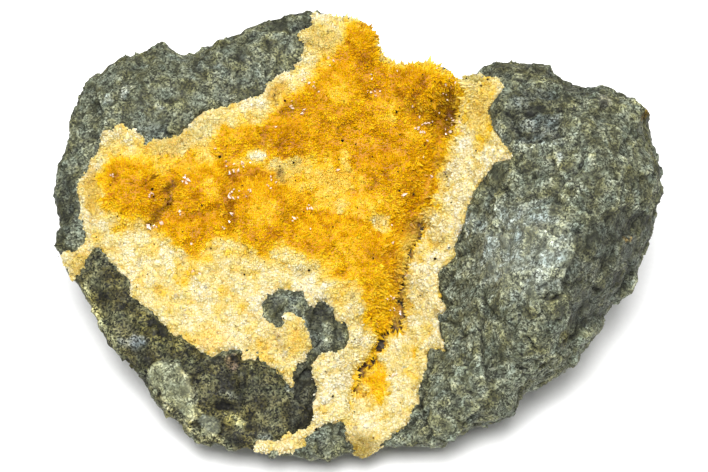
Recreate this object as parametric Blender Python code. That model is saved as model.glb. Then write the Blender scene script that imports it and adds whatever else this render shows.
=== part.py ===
"""A broken block of basalt with an open hollow that is lined with orange calcite.

The stone lies on its flat underside, with the hollow facing up and to the front.
Its outlines are drawn on a flat sheet that stands through the middle of the stone,
square to a line of sight 50 degrees above the ground. Each surface is the sheet
with every point moved nearer to the eye or farther from it, along its own ray.
"""
import math
import random

import bmesh
import bpy
import numpy as np
from mathutils import Vector, noise
from mathutils.geometry import delaunay_2d_cdt

MM = 0.001

# The whole stone
WIDTH = 140 * MM
SHEET_HEIGHT = 31 * MM
RIM_LEAN = math.radians(16)
UNDERSIDE_DEPTH = 58 * MM

# The line of sight that the outlines are drawn along
SIGHT_ELEVATION = math.radians(50)
EYE_DISTANCE = 700 * MM

# How the edges turn over, measured across the sheet
STONE_EDGE_REACH = 11 * MM
CRUST_EDGE_REACH = 3.5 * MM
UNDERSIDE_REACH = 44 * MM
UNDERSIDE_FADE = 8 * MM
UNDERSIDE_LEAST = 0.30
UNDERSIDE_PASSES = 5
BREAK_LEAST = 0.35
BASE_ROUNDING = 7 * MM
GROUND_TOLERANCE = 1e-6
FLAT_ANGLE = math.radians(0.05)

# The calcite crust
CRUST_THICKNESS = 4.6 * MM
CRUST_EDGE_SHARE = 0.5
CRUST_EDGE_LEVEL = 0.5
CRUST_THINNING_REACH = 7 * MM
CRUST_LIP = 0.7 * MM
CRUST_LIP_REACH = 2 * MM
CRUST_LIP_TURN = 0.4
SEAT_GAP = 0.5 * MM
SEAT_TOP = 60 * MM
CREVICE_DEPTH = 2.6 * MM
CREVICE_HALF_WIDTH = 3.2 * MM

# Rough broken surface of the basalt
BROKEN_SCALES = ((19 * MM, 1.7 * MM), (8 * MM, 0.7 * MM))
BROKEN_SHIFT = 3.7
UNDERSIDE_SCALES = ((26 * MM, 3.4 * MM), (10 * MM, 1.0 * MM))
UNDERSIDE_SHIFT = 8.2

# Spacing of the mesh on the sheet
STONE_SPACING = 3.6 * MM
CRUST_SPACING = 2.9 * MM
STONE_RINGS = (1.0 * MM, 3.2 * MM)
CRUST_RINGS = (1.2 * MM,)
RING_CLEARANCE = 0.8
INNER_CLEARANCE = 0.55
EXTRA_CLEARANCE = 0.7
JITTER = 0.24
STONE_SEED = 5
CRUST_SEED = 11

# The sheet's own grid: outlines are read as x to the right and y down, in its squares
SHEET_CENTRE = (354, 236)
WIDTH_IN_SQUARES = 611
SQUARE = WIDTH / WIDTH_IN_SQUARES

STONE_OUTLINE = [
    (53, 190), (56, 168), (66, 142), (71, 113), (81, 90), (100, 76), (121, 61), (150, 47),
    (163, 42), (178, 53), (197, 55), (217, 40), (240, 29), (255, 24), (278, 17), (303, 14),
    (318, 15), (333, 20), (348, 21), (362, 25), (374, 38), (382, 55), (394, 68), (410, 67),
    (430, 66), (446, 72), (459, 84), (474, 75), (487, 68), (497, 61), (515, 62), (533, 63),
    (548, 69), (563, 80), (584, 87), (602, 86), (620, 94), (634, 104), (648, 114), (650, 132),
    (658, 152), (664, 170), (661, 192), (654, 215), (647, 238), (641, 260), (633, 283),
    (622, 299), (609, 312), (597, 329), (582, 346), (573, 362), (558, 377), (540, 388),
    (525, 394), (514, 412), (500, 420), (484, 425), (468, 430), (455, 442), (430, 444),
    (405, 445), (385, 446), (366, 455), (352, 452), (330, 458), (308, 459), (291, 458),
    (270, 458), (250, 450), (228, 449), (208, 443), (190, 432), (170, 416), (152, 399),
    (141, 378), (128, 360), (109, 346), (101, 330), (92, 310), (80, 291), (68, 272),
    (61, 250), (57, 222),
]

# Clockwise: skyline, right wall, tip, right of the dark column, the hook, the knob, lower left, upper left
CRUST_OUTLINE = [
    (313, 14), (333, 19), (348, 20), (362, 24), (374, 37), (382, 54), (394, 67), (410, 66),
    (430, 65), (446, 71), (459, 83), (472, 77), (483, 77),
    (500, 80), (504, 89), (493, 99), (488, 112), (493, 128), (504, 143), (519, 158),
    (497, 162), (487, 174), (475, 193), (466, 215), (457, 240), (454, 257), (437, 273),
    (440, 292), (446, 308), (436, 316), (443, 338), (446, 351), (428, 348), (427, 360),
    (421, 380), (419, 398), (412, 410), (406, 428), (392, 437), (378, 447),
    (366, 456), (356, 453), (347, 437), (344, 424), (330, 423), (318, 429), (308, 438),
    (307, 447), (290, 450), (270, 450), (255, 450), (257, 441), (281, 439), (290, 429), (310, 424),
    (312, 410), (318, 391), (313, 375), (309, 365), (320, 354), (335, 352), (346, 347), (350, 336),
    (347, 322), (338, 322), (333, 310), (326, 301), (318, 301), (312, 308), (306, 302),
    (302, 291), (280, 290), (267, 299), (261, 308), (265, 317), (274, 323), (280, 334),
    (283, 319), (294, 313), (304, 318), (309, 330), (315, 348), (306, 361), (297, 364),
    (293, 375), (294, 389), (286, 383),
    (275, 371), (258, 361), (243, 361), (236, 350), (224, 352), (212, 357), (199, 352),
    (187, 341), (169, 334), (158, 318), (143, 305), (130, 293), (127, 279), (110, 263),
    (99, 247), (91, 252), (83, 264), (72, 281), (64, 258), (66, 252), (80, 252),
    (86, 240), (85, 222), (79, 212), (80, 186), (90, 163), (99, 147), (105, 132),
    (123, 125), (134, 130), (147, 138), (172, 138), (188, 124), (203, 110), (222, 104), (250, 99),
    (263, 92), (270, 79), (290, 70), (301, 60), (305, 42), (300, 36), (316, 27),
]

# Deepest line of the hollow, where the floor meets the right wall
CREVICE = [
    (450, 100), (452, 120), (446, 138), (434, 165), (425, 195), (420, 225), (416, 241),
    (411, 262), (403, 282), (402, 300), (398, 324), (382, 341), (375, 357), (363, 368), (359, 392),
]

# Spot heights over the leaning rim plane: x, y in squares, height in millimetres
LEFT_HEIGHTS = [
    (90, 100, 6), (130, 80, 9), (170, 80, 10), (215, 70, 9), (260, 50, 8), (295, 30, 7),
    (75, 160, 5), (68, 220, 4), (110, 115, 8), (160, 120, 8), (215, 95, 7), (255, 85, 6),
    (290, 60, 5), (90, 235, 3.5), (100, 270, 3), (90, 290, 3), (120, 340, 4),
]
HOLLOW_HEIGHTS = [
    (330, 40, 6), (365, 45, 6), (390, 85, 4), (425, 88, 4), (455, 95, 2), (450, 118, -2),
    (340, 95, 3.5), (385, 118, 1), (300, 110, 4), (260, 130, 4.5), (410, 140, 0.5),
    (395, 175, -1), (340, 150, 1), (310, 175, 1.5), (240, 150, 4), (200, 150, 4.5),
    (150, 160, 5), (105, 150, 5), (127, 188, 5), (205, 187, 4), (262, 215, 4), (185, 235, 3),
    (300, 240, 3), (350, 245, 0.5), (380, 205, -2), (385, 270, -2), (416, 241, -5),
    (421, 215, -4), (405, 290, -6), (400, 320, -6), (380, 345, -5.5), (365, 370, -4.5),
    (358, 398, -3),
]
WALL_HEIGHTS = [
    (475, 90, 7), (485, 130, 8), (470, 170, 5), (455, 200, 2), (440, 240, -1), (425, 280, -3),
    (435, 320, -1), (415, 350, -3), (405, 390, -2), (390, 420, -1), (365, 445, 0),
]
LOWER_HEIGHTS = [
    (130, 250, 3), (150, 290, 3), (200, 270, 3), (200, 320, 3.5), (250, 270, 4),
    (250, 330, 3.5), (300, 290, 3), (330, 310, 1), (360, 300, -1), (340, 370, -1),
    (300, 340, 2.5), (340, 410, -1), (300, 400, 1.5), (270, 390, 3), (230, 370, 4),
    (180, 350, 4.5), (140, 310, 4), (170, 390, 4.5), (220, 420, 3.5), (270, 430, 2.5),
    (310, 445, 1.5), (330, 440, 1),
]
RIGHT_HEIGHTS = [
    (490, 90, 10), (520, 80, 12), (560, 100, 16), (610, 115, 17), (640, 150, 15),
    (510, 130, 14), (540, 150, 18), (600, 160, 22), (645, 200, 17), (500, 180, 14),
    (540, 200, 22), (480, 220, 9), (470, 260, 6), (500, 260, 16), (550, 260, 24),
    (600, 230, 24), (620, 260, 17), (590, 300, 16), (555, 300, 22), (520, 320, 18),
    (470, 320, 8), (455, 360, 6), (490, 380, 12), (540, 350, 17), (580, 330, 13),
    (440, 410, 7), (480, 410, 10), (520, 380, 13),
]
SPOT_HEIGHTS = LEFT_HEIGHTS + HOLLOW_HEIGHTS + WALL_HEIGHTS + LOWER_HEIGHTS + RIGHT_HEIGHTS

# Domes of the crust: x, y, half width, half height in squares, rise in millimetres
MOUNDS = [
    (127, 188, 38, 36, 4.5), (205, 187, 29, 24, 3.0), (262, 215, 46, 40, 4.0), (185, 232, 27, 20, 2.2),
    (300, 242, 38, 26, 2.4), (385, 268, 36, 40, 3.0), (350, 240, 30, 26, 1.6), (365, 45, 17, 28, 2.2),
    (425, 90, 32, 22, 2.4), (340, 95, 34, 30, 2.6), (385, 115, 23, 21, 2.0), (295, 140, 27, 20, 2.0),
    (240, 135, 22, 15, 1.6), (410, 140, 20, 16, 1.6), (395, 175, 34, 28, 2.4), (380, 205, 26, 22, 1.8),
    (310, 175, 28, 15, 1.2), (297, 338, 14, 24, 1.6), (330, 385, 16, 26, 1.0), (400, 400, 18, 24, 1.6),
]

# Flat breaks that shape the underside: direction across the sheet in degrees, reach from the centre, fall
BREAKS = [
    (98, 51 * MM, 1.9), (60, 60 * MM, 1.9), (22, 72 * MM, 2.4),
    (168, 69 * MM, 2.1), (232, 58 * MM, 1.5), (318, 62 * MM, 1.8),
]

BASALT_COLOUR = (0.155, 0.162, 0.130, 1.0)
BASALT_ROUGHNESS = 0.85
CALCITE_COLOUR = (0.80, 0.40, 0.045, 1.0)
CALCITE_ROUGHNESS = 0.35


def clear_scene():
    """Starts from an empty scene."""
    for thing in list(bpy.data.objects):
        bpy.data.objects.remove(thing, do_unlink=True)


def on_sheet(squares):
    """Places on the sheet in metres, from rows that begin with x and y in squares."""
    rows = np.array([row[:2] for row in squares], dtype=float)
    across = (rows[:, 0] - SHEET_CENTRE[0]) * SQUARE
    up = (SHEET_CENTRE[1] - rows[:, 1]) * SQUARE
    return np.stack([across, up], axis=1)


def in_space(points, depth):
    """Moves sheet points toward the eye by depth, each along its own ray."""
    shrink = 1 - depth / EYE_DISTANCE
    across = points[:, 0] * shrink
    up = points[:, 1] * shrink
    sine, cosine = math.sin(SIGHT_ELEVATION), math.cos(SIGHT_ELEVATION)
    return np.stack([across, up * sine - depth * cosine, SHEET_HEIGHT + up * cosine + depth * sine], axis=1)


def distance_to(points, line, closed=True):
    """Shortest distance across the sheet from each point to a line of straight runs."""
    starts = line if closed else line[:-1]
    ends = np.roll(line, -1, axis=0) if closed else line[1:]
    runs = ends - starts
    offset = points[:, None, :] - starts[None, :, :]
    share = np.clip((offset * runs).sum(axis=2) / (runs * runs).sum(axis=1), 0, 1)
    nearest = offset - share[:, :, None] * runs[None, :, :]
    return np.sqrt((nearest ** 2).sum(axis=2)).min(axis=1)


def is_inside(points, outline):
    """Even-odd test of points against a closed outline."""
    ends = np.roll(outline, -1, axis=0)
    x, y = points[:, 0][:, None], points[:, 1][:, None]
    spans = (outline[:, 1] > y) != (ends[:, 1] > y)
    rise = np.where(ends[:, 1] == outline[:, 1], 1, ends[:, 1] - outline[:, 1])
    crossing = outline[:, 0] + (y - outline[:, 1]) * (ends[:, 0] - outline[:, 0]) / rise
    return (spans & (x < crossing)).sum(axis=1) % 2 == 1


def grown(outline, amount):
    """The outline moved outward by amount, or inward when it is negative. It runs clockwise."""
    before = outline - np.roll(outline, 1, axis=0)
    after = np.roll(outline, -1, axis=0) - outline
    before /= np.linalg.norm(before, axis=1)[:, None]
    after /= np.linalg.norm(after, axis=1)[:, None]
    outward = np.stack([-(before + after)[:, 1], (before + after)[:, 0]], axis=1)
    outward /= np.maximum(np.linalg.norm(outward, axis=1), 1e-9)[:, None]
    bend = np.maximum((outward * np.stack([-after[:, 1], after[:, 0]], axis=1)).sum(axis=1), 0.6)
    return outline + outward * (amount / bend)[:, None]


def thin_plate(radius):
    """Kernel of the smooth skin that is stretched over the spot heights."""
    safe = np.maximum(radius, 1e-12)
    return radius ** 2 * np.log(safe)


class Skin:
    """Smooth surface through the spot heights, as height over the rim plane."""

    def __init__(self, spots):
        self.places = on_sheet(spots) / WIDTH
        count = len(spots)
        gaps = np.linalg.norm(self.places[:, None] - self.places[None], axis=2)
        plane = np.column_stack([np.ones(count), self.places])
        system = np.zeros((count + 3, count + 3))
        system[:count, :count] = thin_plate(gaps)
        system[:count, count:] = plane
        system[count:, :count] = plane.T
        target = np.zeros(count + 3)
        target[:count] = [spot[2] * MM for spot in spots]
        self.weights = np.linalg.solve(system, target)

    def height(self, points):
        """Height of the skin at each sheet point."""
        scaled = points / WIDTH
        gaps = np.linalg.norm(scaled[:, None] - self.places[None], axis=2)
        plane = np.column_stack([np.ones(len(points)), scaled])
        return thin_plate(gaps) @ self.weights[:-3] + plane @ self.weights[-3:]


def round_over(distance, reach):
    """Quarter-round from 0 at an edge to 1 at reach behind it."""
    share = np.clip(1 - distance / reach, 0, 1)
    return np.sqrt(np.maximum(1 - share ** 2, 0))


def roughness(points, scales, shift):
    """Broken relief: layers of noise, each a size across and a height."""
    total = np.zeros(len(points))
    for size, height in scales:
        for index, (x, y) in enumerate(points):
            total[index] += height * noise.noise(Vector((x / size + shift, y / size - shift, shift)))
    return total


def relaxed(values, faces, edge_count, passes):
    """Values averaged with their neighbours over the triangles, apart from those at the edge."""
    corners = np.array(faces)
    starts = corners.reshape(-1)
    ends = np.roll(corners, -1, axis=1).reshape(-1)
    links = np.bincount(starts, minlength=len(values))
    for _ in range(passes):
        around = np.bincount(starts, weights=values[ends], minlength=len(values)) / links
        values = np.where(np.arange(len(values)) < edge_count, values, 0.5 * (values + around))
    return values


def softened_maximum(first, second, rounding):
    """The larger of two depths, with the corner between them rounded off."""
    overlap = np.maximum(rounding - np.abs(first - second), 0)
    return np.maximum(first, second) + overlap ** 2 / (4 * rounding)


def rim_depth(points):
    """The plane that the stone's outline lies in."""
    return -points[:, 1] * math.tan(RIM_LEAN)


def ground_depth(points):
    """Depth at which each ray meets the ground."""
    cosine, sine = math.cos(SIGHT_ELEVATION), math.sin(SIGHT_ELEVATION)
    return -(SHEET_HEIGHT + points[:, 1] * cosine) / (sine - points[:, 1] * cosine / EYE_DISTANCE)


def stone_front(points, skin, outline):
    """Near side of the stone, before the hollow's crust is let in."""
    edge = round_over(distance_to(points, outline), STONE_EDGE_REACH)
    relief = skin.height(points) + roughness(points, BROKEN_SCALES, BROKEN_SHIFT)
    return rim_depth(points) + edge * relief


def stone_back(points, outline, faces):
    """Far side of the stone: a round underside with flat breaks, cut off at the ground."""
    distance = distance_to(points, outline)
    depth = UNDERSIDE_DEPTH * round_over(distance, UNDERSIDE_REACH)
    for degrees, reach, fall in BREAKS:
        turn = math.radians(degrees)
        along = points @ np.array([math.cos(turn), math.sin(turn)])
        depth = np.minimum(depth, np.maximum((reach - along) * fall, BREAK_LEAST * depth))
    fade = np.clip(distance / UNDERSIDE_FADE, 0, 1)
    relief = fade * roughness(points, UNDERSIDE_SCALES, UNDERSIDE_SHIFT)
    depth = np.maximum(depth + relief, UNDERSIDE_LEAST * depth)
    depth = relaxed(depth, faces, len(outline), UNDERSIDE_PASSES)
    return softened_maximum(rim_depth(points) - depth, ground_depth(points), BASE_ROUNDING)


def crust_base(points, skin, outline):
    """The crust's level without its domes."""
    edge = round_over(distance_to(points, outline), CRUST_EDGE_REACH)
    crevice = distance_to(points, on_sheet(CREVICE), closed=False)
    carved = CREVICE_DEPTH * np.exp(-(crevice / CREVICE_HALF_WIDTH) ** 2)
    level = CRUST_EDGE_LEVEL + (1 - CRUST_EDGE_LEVEL) * edge
    return rim_depth(points) + level * skin.height(points) - carved


def crust_front(points, skin, outline, own_outline):
    """Near side of the crust: domes that rise from the level, and a lip that turns down at its edge."""
    rise = np.zeros(len(points))
    for x, y, half_width, half_height, height in MOUNDS:
        centre = on_sheet([(x, y)])[0]
        offset = (points - centre) / (np.array([half_width, half_height]) * SQUARE)
        reach = np.clip(1 - (offset ** 2).sum(axis=1), 0, 1)
        rise = np.maximum(rise, height * MM * np.sqrt(reach))
    lip = CRUST_LIP * (round_over(distance_to(points, own_outline), CRUST_LIP_REACH) - CRUST_LIP_TURN)
    return crust_base(points, skin, outline) + rise + lip


def crust_back(points, skin, outline):
    """Underside of the crust, where it grew on the rock. It is thinner at the stone's own edge."""
    inward = round_over(distance_to(points, outline), CRUST_THINNING_REACH)
    share = CRUST_EDGE_SHARE + (1 - CRUST_EDGE_SHARE) * inward
    return crust_base(points, skin, outline) - CRUST_THICKNESS * share


def crevice_rows(spacing):
    """Points along the crevice and along both its shoulders, so that its valley runs clean."""
    line = on_sheet(CREVICE)
    runs = np.linalg.norm(np.diff(line, axis=0), axis=1)
    travelled = np.concatenate([[0], np.cumsum(runs)])
    stops = np.linspace(0, travelled[-1], int(travelled[-1] / spacing) + 1)
    middle = np.stack([np.interp(stops, travelled, line[:, axis]) for axis in (0, 1)], axis=1)
    heading = np.gradient(middle, axis=0)
    heading /= np.linalg.norm(heading, axis=1)[:, None]
    sideways = np.stack([-heading[:, 1], heading[:, 0]], axis=1) * CREVICE_HALF_WIDTH
    return np.concatenate([middle, middle + sideways, middle - sideways])


def spread_points(outline, spacing, rings, chance, extra=None):
    """Outline points first, then rings inside them, then extra ones, then loosely spaced ones."""
    placed = [outline]
    inner_edge = rings[-1] + INNER_CLEARANCE * spacing
    for ring in rings:
        inner = grown(outline, -ring)
        keep = is_inside(inner, outline) & (distance_to(inner, outline) > RING_CLEARANCE * ring)
        placed.append(inner[keep])
    if extra is not None:
        keep = is_inside(extra, outline) & (distance_to(extra, outline) > inner_edge)
        placed.append(extra[keep])
    low, high = outline.min(axis=0), outline.max(axis=0)
    row_step = spacing * math.sqrt(3) / 2
    loose = []
    for row in range(int((high[1] - low[1]) / row_step) + 1):
        for column in range(int((high[0] - low[0]) / spacing) + 1):
            x = low[0] + (column + 0.5 * (row % 2) + chance.uniform(-JITTER, JITTER)) * spacing
            y = low[1] + row * row_step + chance.uniform(-JITTER, JITTER) * spacing
            loose.append((x, y))
    loose = np.array(loose)
    loose = loose[is_inside(loose, outline) & (distance_to(loose, outline) > inner_edge)]
    if extra is not None:
        gaps = np.linalg.norm(loose[:, None] - extra[None], axis=2).min(axis=1)
        loose = loose[gaps > EXTRA_CLEARANCE * spacing]
    placed.append(loose)
    return np.concatenate(placed)


def triangulated(points, edge_count):
    """Triangles over the points inside their outline, which is the first edge_count points."""
    flat = [Vector(point) for point in points]
    ring = list(range(edge_count))
    found = delaunay_2d_cdt(flat, [], [ring], 1, 1e-7)
    if len(found[0]) != len(points):
        raise ValueError(f"the outline crosses itself: {len(points)} points became {len(found[0])}")
    return [list(face) for face in found[2]]


def closed_mesh(name, points, faces, edge_count, near, far, joined_edge):
    """A solid between two depths over the same triangles. A joined edge has one rim and no wall."""
    mesh = bpy.data.meshes.new(name)
    form = bmesh.new()
    front = [form.verts.new(place) for place in in_space(points, near)]
    back_places = in_space(points, far)
    back = []
    for index, place in enumerate(back_places):
        shared = joined_edge and index < edge_count
        back.append(front[index] if shared else form.verts.new(place))
    for face in faces:
        form.faces.new([front[i] for i in face])
        form.faces.new([back[i] for i in reversed(face)])
    if not joined_edge:
        for i in range(edge_count):
            j = (i + 1) % edge_count
            form.faces.new([front[i], front[j], back[j], back[i]])
    bmesh.ops.recalc_face_normals(form, faces=form.faces)
    form.to_mesh(mesh)
    form.free()
    return mesh


def flatten_base(mesh):
    """Makes the triangles that lie on the ground one flat face."""
    form = bmesh.new()
    form.from_mesh(mesh)
    for corner in form.verts:
        if abs(corner.co.z) < GROUND_TOLERANCE:
            corner.co.z = 0.0
    flat = {face for face in form.faces if all(corner.co.z == 0.0 for corner in face.verts)}
    inner = [edge for edge in form.edges if edge.link_faces and flat.issuperset(edge.link_faces)]
    corners = [corner for corner in form.verts if not flat.isdisjoint(corner.link_faces)]
    bmesh.ops.dissolve_limit(form, angle_limit=FLAT_ANGLE, verts=corners, edges=inner)
    form.to_mesh(mesh)
    form.free()


def finish(name, colour, roughness_value):
    """A plain surface for one piece."""
    material = bpy.data.materials.new(name)
    material.use_nodes = True
    shader = material.node_tree.nodes["Principled BSDF"]
    shader.inputs["Base Color"].default_value = colour
    shader.inputs["Roughness"].default_value = roughness_value
    shader.inputs["Metallic"].default_value = 0.0
    return material


def add_object(name, mesh, material=None):
    """Puts a mesh in the scene as a named piece."""
    thing = bpy.data.objects.new(name, mesh)
    bpy.context.scene.collection.objects.link(thing)
    if material:
        mesh.materials.append(material)
    return thing


def build_crust(skin, outline):
    """The calcite crust, and the cutter that lets it into the rock with a small gap all round."""
    own_outline = on_sheet(CRUST_OUTLINE)
    chance = random.Random(CRUST_SEED)
    points = spread_points(own_outline, CRUST_SPACING, CRUST_RINGS, chance, crevice_rows(CRUST_SPACING))
    count = len(own_outline)
    faces = triangulated(points, count)
    near = crust_front(points, skin, outline, own_outline)
    far = crust_back(points, skin, outline)
    mesh = closed_mesh("calcite_crust", points, faces, count, near, far, joined_edge=False)
    crust = add_object("calcite_crust", mesh, finish("calcite", CALCITE_COLOUR, CALCITE_ROUGHNESS))
    wide = points.copy()
    wide[:count] = grown(own_outline, SEAT_GAP)
    above = np.full(len(points), SEAT_TOP)
    seat = closed_mesh("seat", wide, faces, count, above, far - SEAT_GAP, joined_edge=False)
    cutter = add_object("crust_seat_cutter", seat)
    cutter.hide_render = True
    cutter.display_type = "WIRE"
    return crust, cutter


def build_matrix(skin, outline, cutter):
    """The basalt block, with the crust's seat cut into it."""
    chance = random.Random(STONE_SEED)
    points = spread_points(outline, STONE_SPACING, STONE_RINGS, chance)
    count = len(outline)
    faces = triangulated(points, count)
    near = stone_front(points, skin, outline)
    far = stone_back(points, outline, faces)
    mesh = closed_mesh("basalt_matrix", points, faces, count, near, far, joined_edge=True)
    flatten_base(mesh)
    matrix = add_object("basalt_matrix", mesh, finish("basalt", BASALT_COLOUR, BASALT_ROUGHNESS))
    cut = matrix.modifiers.new("crust_seat", "BOOLEAN")
    cut.operation = "DIFFERENCE"
    cut.solver = "EXACT"
    cut.object = cutter
    return matrix


def main():
    """Builds the stone and its crust."""
    clear_scene()
    outline = on_sheet(STONE_OUTLINE)
    skin = Skin(SPOT_HEIGHTS)
    _, cutter = build_crust(skin, outline)
    build_matrix(skin, outline, cutter)


main()
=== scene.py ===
"""Orange calcite on basalt: the finished look of a hand specimen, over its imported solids.

A broken block of basalt holds an open hollow. Calcite grew in it as a crust of small
crystals, deep orange on the domes of its floor, and cream at its edges and up its right wall.
Places on the stone are read on the sheet that its outlines were drawn on, in squares
of 0.229 mm, x to the right and y down, as seen from 50 degrees above the ground. Each
noise pattern has a shift, a number that parts it from the others.
"""

import copy
import logging
import math
from collections.abc import Sequence
from dataclasses import dataclass
from enum import Enum

import bmesh
import bpy
import numpy as np
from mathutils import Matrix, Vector, noise
from mathutils.bvhtree import BVHTree


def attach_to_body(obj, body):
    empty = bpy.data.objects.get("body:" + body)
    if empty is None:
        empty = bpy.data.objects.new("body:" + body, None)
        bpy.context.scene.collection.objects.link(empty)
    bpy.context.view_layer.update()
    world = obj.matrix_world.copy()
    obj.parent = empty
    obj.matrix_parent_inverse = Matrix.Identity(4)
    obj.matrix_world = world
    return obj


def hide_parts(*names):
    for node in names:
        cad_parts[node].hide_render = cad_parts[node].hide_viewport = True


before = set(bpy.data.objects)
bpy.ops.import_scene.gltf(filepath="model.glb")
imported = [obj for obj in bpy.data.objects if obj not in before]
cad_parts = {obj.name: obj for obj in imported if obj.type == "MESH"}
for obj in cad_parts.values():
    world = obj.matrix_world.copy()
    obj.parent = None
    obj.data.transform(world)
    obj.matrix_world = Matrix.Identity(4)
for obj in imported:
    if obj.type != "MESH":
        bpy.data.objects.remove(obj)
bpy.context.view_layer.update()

MM = 0.001
BODY = "root"
IMAGE_WIDTH = 708
NOISE_SEED = 2

# The least length that anything is divided by
TINY = 1e-9

# How far a knob reaches from its middle, in widths
KNOB_REACH = 0.8

# A chip's wandering edge, its tilt and its step, in widths, and what parts the draws of the last two
CHIP_BEND, CHIP_TILT, CHIP_STEP = 0.2, 2.6, 0.8
TILT_DRAW, STEP_DRAW = 7.3, 3.1

log = logging.getLogger("calcite_on_basalt")

# The stops of a colour ramp: each one's place from 0 to 1, and its hex colour
Stops = tuple[tuple[float, str], ...]


def linear(hex_colour: str) -> tuple[float, float, float, float]:
    """Turns an sRGB hex value into linear red, green, blue and alpha.

    Args:
        hex_colour: six hex digits after a hash, such as "#F2DDA0".

    Returns:
        The colour in linear light, with an alpha of 1.
    """
    parts = [int(hex_colour[i:i + 2], 16) / 255 for i in (1, 3, 5)]
    light = [c / 12.92 if c <= 0.04045 else ((c + 0.055) / 1.055) ** 2.4 for c in parts]
    return (light[0], light[1], light[2], 1.0)


def linear_rows(hex_colours: Sequence[str]) -> np.ndarray:
    """Linear red, green and blue of several hex colours, one row each."""
    return np.array([linear(colour)[:3] for colour in hex_colours])


def eased(values: np.ndarray, low: float, high: float) -> np.ndarray:
    """Smooth step from 0 at low to 1 at high."""
    share = np.clip((values - low) / (high - low), 0, 1)
    return share * share * (3 - 2 * share)


@dataclass(frozen=True)
class Lumps:
    """A smooth noise pattern: the width of its lumps in metres, and its shift."""

    width: float
    shift: float

    def at(self, points: np.ndarray) -> np.ndarray:
        """Its value at each point, from about -1 to 1."""
        return np.array([noise.noise(Vector(place)) for place in points / self.width + self.shift])


def wandering(points: np.ndarray, size: float, shift: float) -> np.ndarray:
    """Three smooth noises at once, one row of three values for each point."""
    return np.array([noise.noise_vector(Vector(place)) for place in points / size + shift])


@dataclass(frozen=True)
class Wander:
    """How drawn marks stray: the width of a bend in metres, its shift, and how many squares."""

    width: float
    shift: float
    squares: float

    def bend(self, places: np.ndarray, points: np.ndarray) -> None:
        """Moves places on the sheet, in place, by the noise at their points in space."""
        places[:, :2] += wandering(points, self.width, self.shift)[:, :2] * self.squares


def knobby(points: np.ndarray, size: float, shift: float) -> np.ndarray:
    """Round knobs side by side: 1 on each crown, falling to about 0 in the grooves between them.

    Args:
        points: places, one row of three numbers each.
        size: width of a knob, in the same unit.
        shift: the pattern's shift.

    Returns:
        One value for each point.
    """
    reach = np.array([noise.voronoi(Vector(place))[0][0] for place in points / size + shift])
    return np.clip(1 - (reach / KNOB_REACH) ** 2, 0, 1)


def chipped(points: np.ndarray, size: float, shift: float) -> np.ndarray:
    """Flat chips side by side, each tilted its own way, from -1 to 1.

    Args:
        points: places, one row of three numbers each.
        size: width of a chip, in the same unit.
        shift: the pattern's shift.

    Returns:
        One height for each point.
    """
    bent = points / size + wandering(points, size, shift) * CHIP_BEND + shift
    heights = np.zeros(len(points))
    for index, row in enumerate(bent):
        place = Vector(row)
        foot = noise.voronoi(place)[1][0]
        slope = CHIP_TILT * (place - foot).dot(noise.noise_vector(foot * TILT_DRAW))
        heights[index] = slope + CHIP_STEP * noise.noise(foot * STEP_DRAW)
    return np.clip(heights, -1, 1)


def distance_to_line(places: np.ndarray, line: np.ndarray, closed: bool) -> np.ndarray:
    """Shortest distance on the sheet from each place to a line of straight runs.

    Args:
        places: x and y, one row each.
        line: the line's corners, one row each.
        closed: whether the last corner joins the first.

    Returns:
        One distance for each place, in the unit of the places.
    """
    starts = line if closed else line[:-1]
    ends = np.roll(line, -1, axis=0) if closed else line[1:]
    best = np.full(len(places), np.inf)
    for start, end in zip(starts, ends):
        run = end - start
        offset = places - start
        share = np.clip(offset @ run / max(run @ run, TINY), 0, 1)
        gap = offset - share[:, None] * run
        best = np.minimum(best, (gap ** 2).sum(axis=1))
    return np.sqrt(best)


def inside_outline(places: np.ndarray, outline: np.ndarray) -> np.ndarray:
    """Finds which places lie inside a closed outline, by the even-odd rule.

    Args:
        places: x and y, one row each.
        outline: the outline's corners, one row each.

    Returns:
        One true or false for each place.
    """
    found = np.zeros(len(places), bool)
    for (x0, y0), (x1, y1) in zip(outline, np.roll(outline, -1, axis=0)):
        if y0 == y1:
            continue
        spans = (places[:, 1] < y0) != (places[:, 1] < y1)
        crossing = x0 + (places[:, 1] - y0) * (x1 - x0) / (y1 - y0)
        found ^= spans & (places[:, 0] < crossing)
    return found


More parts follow.
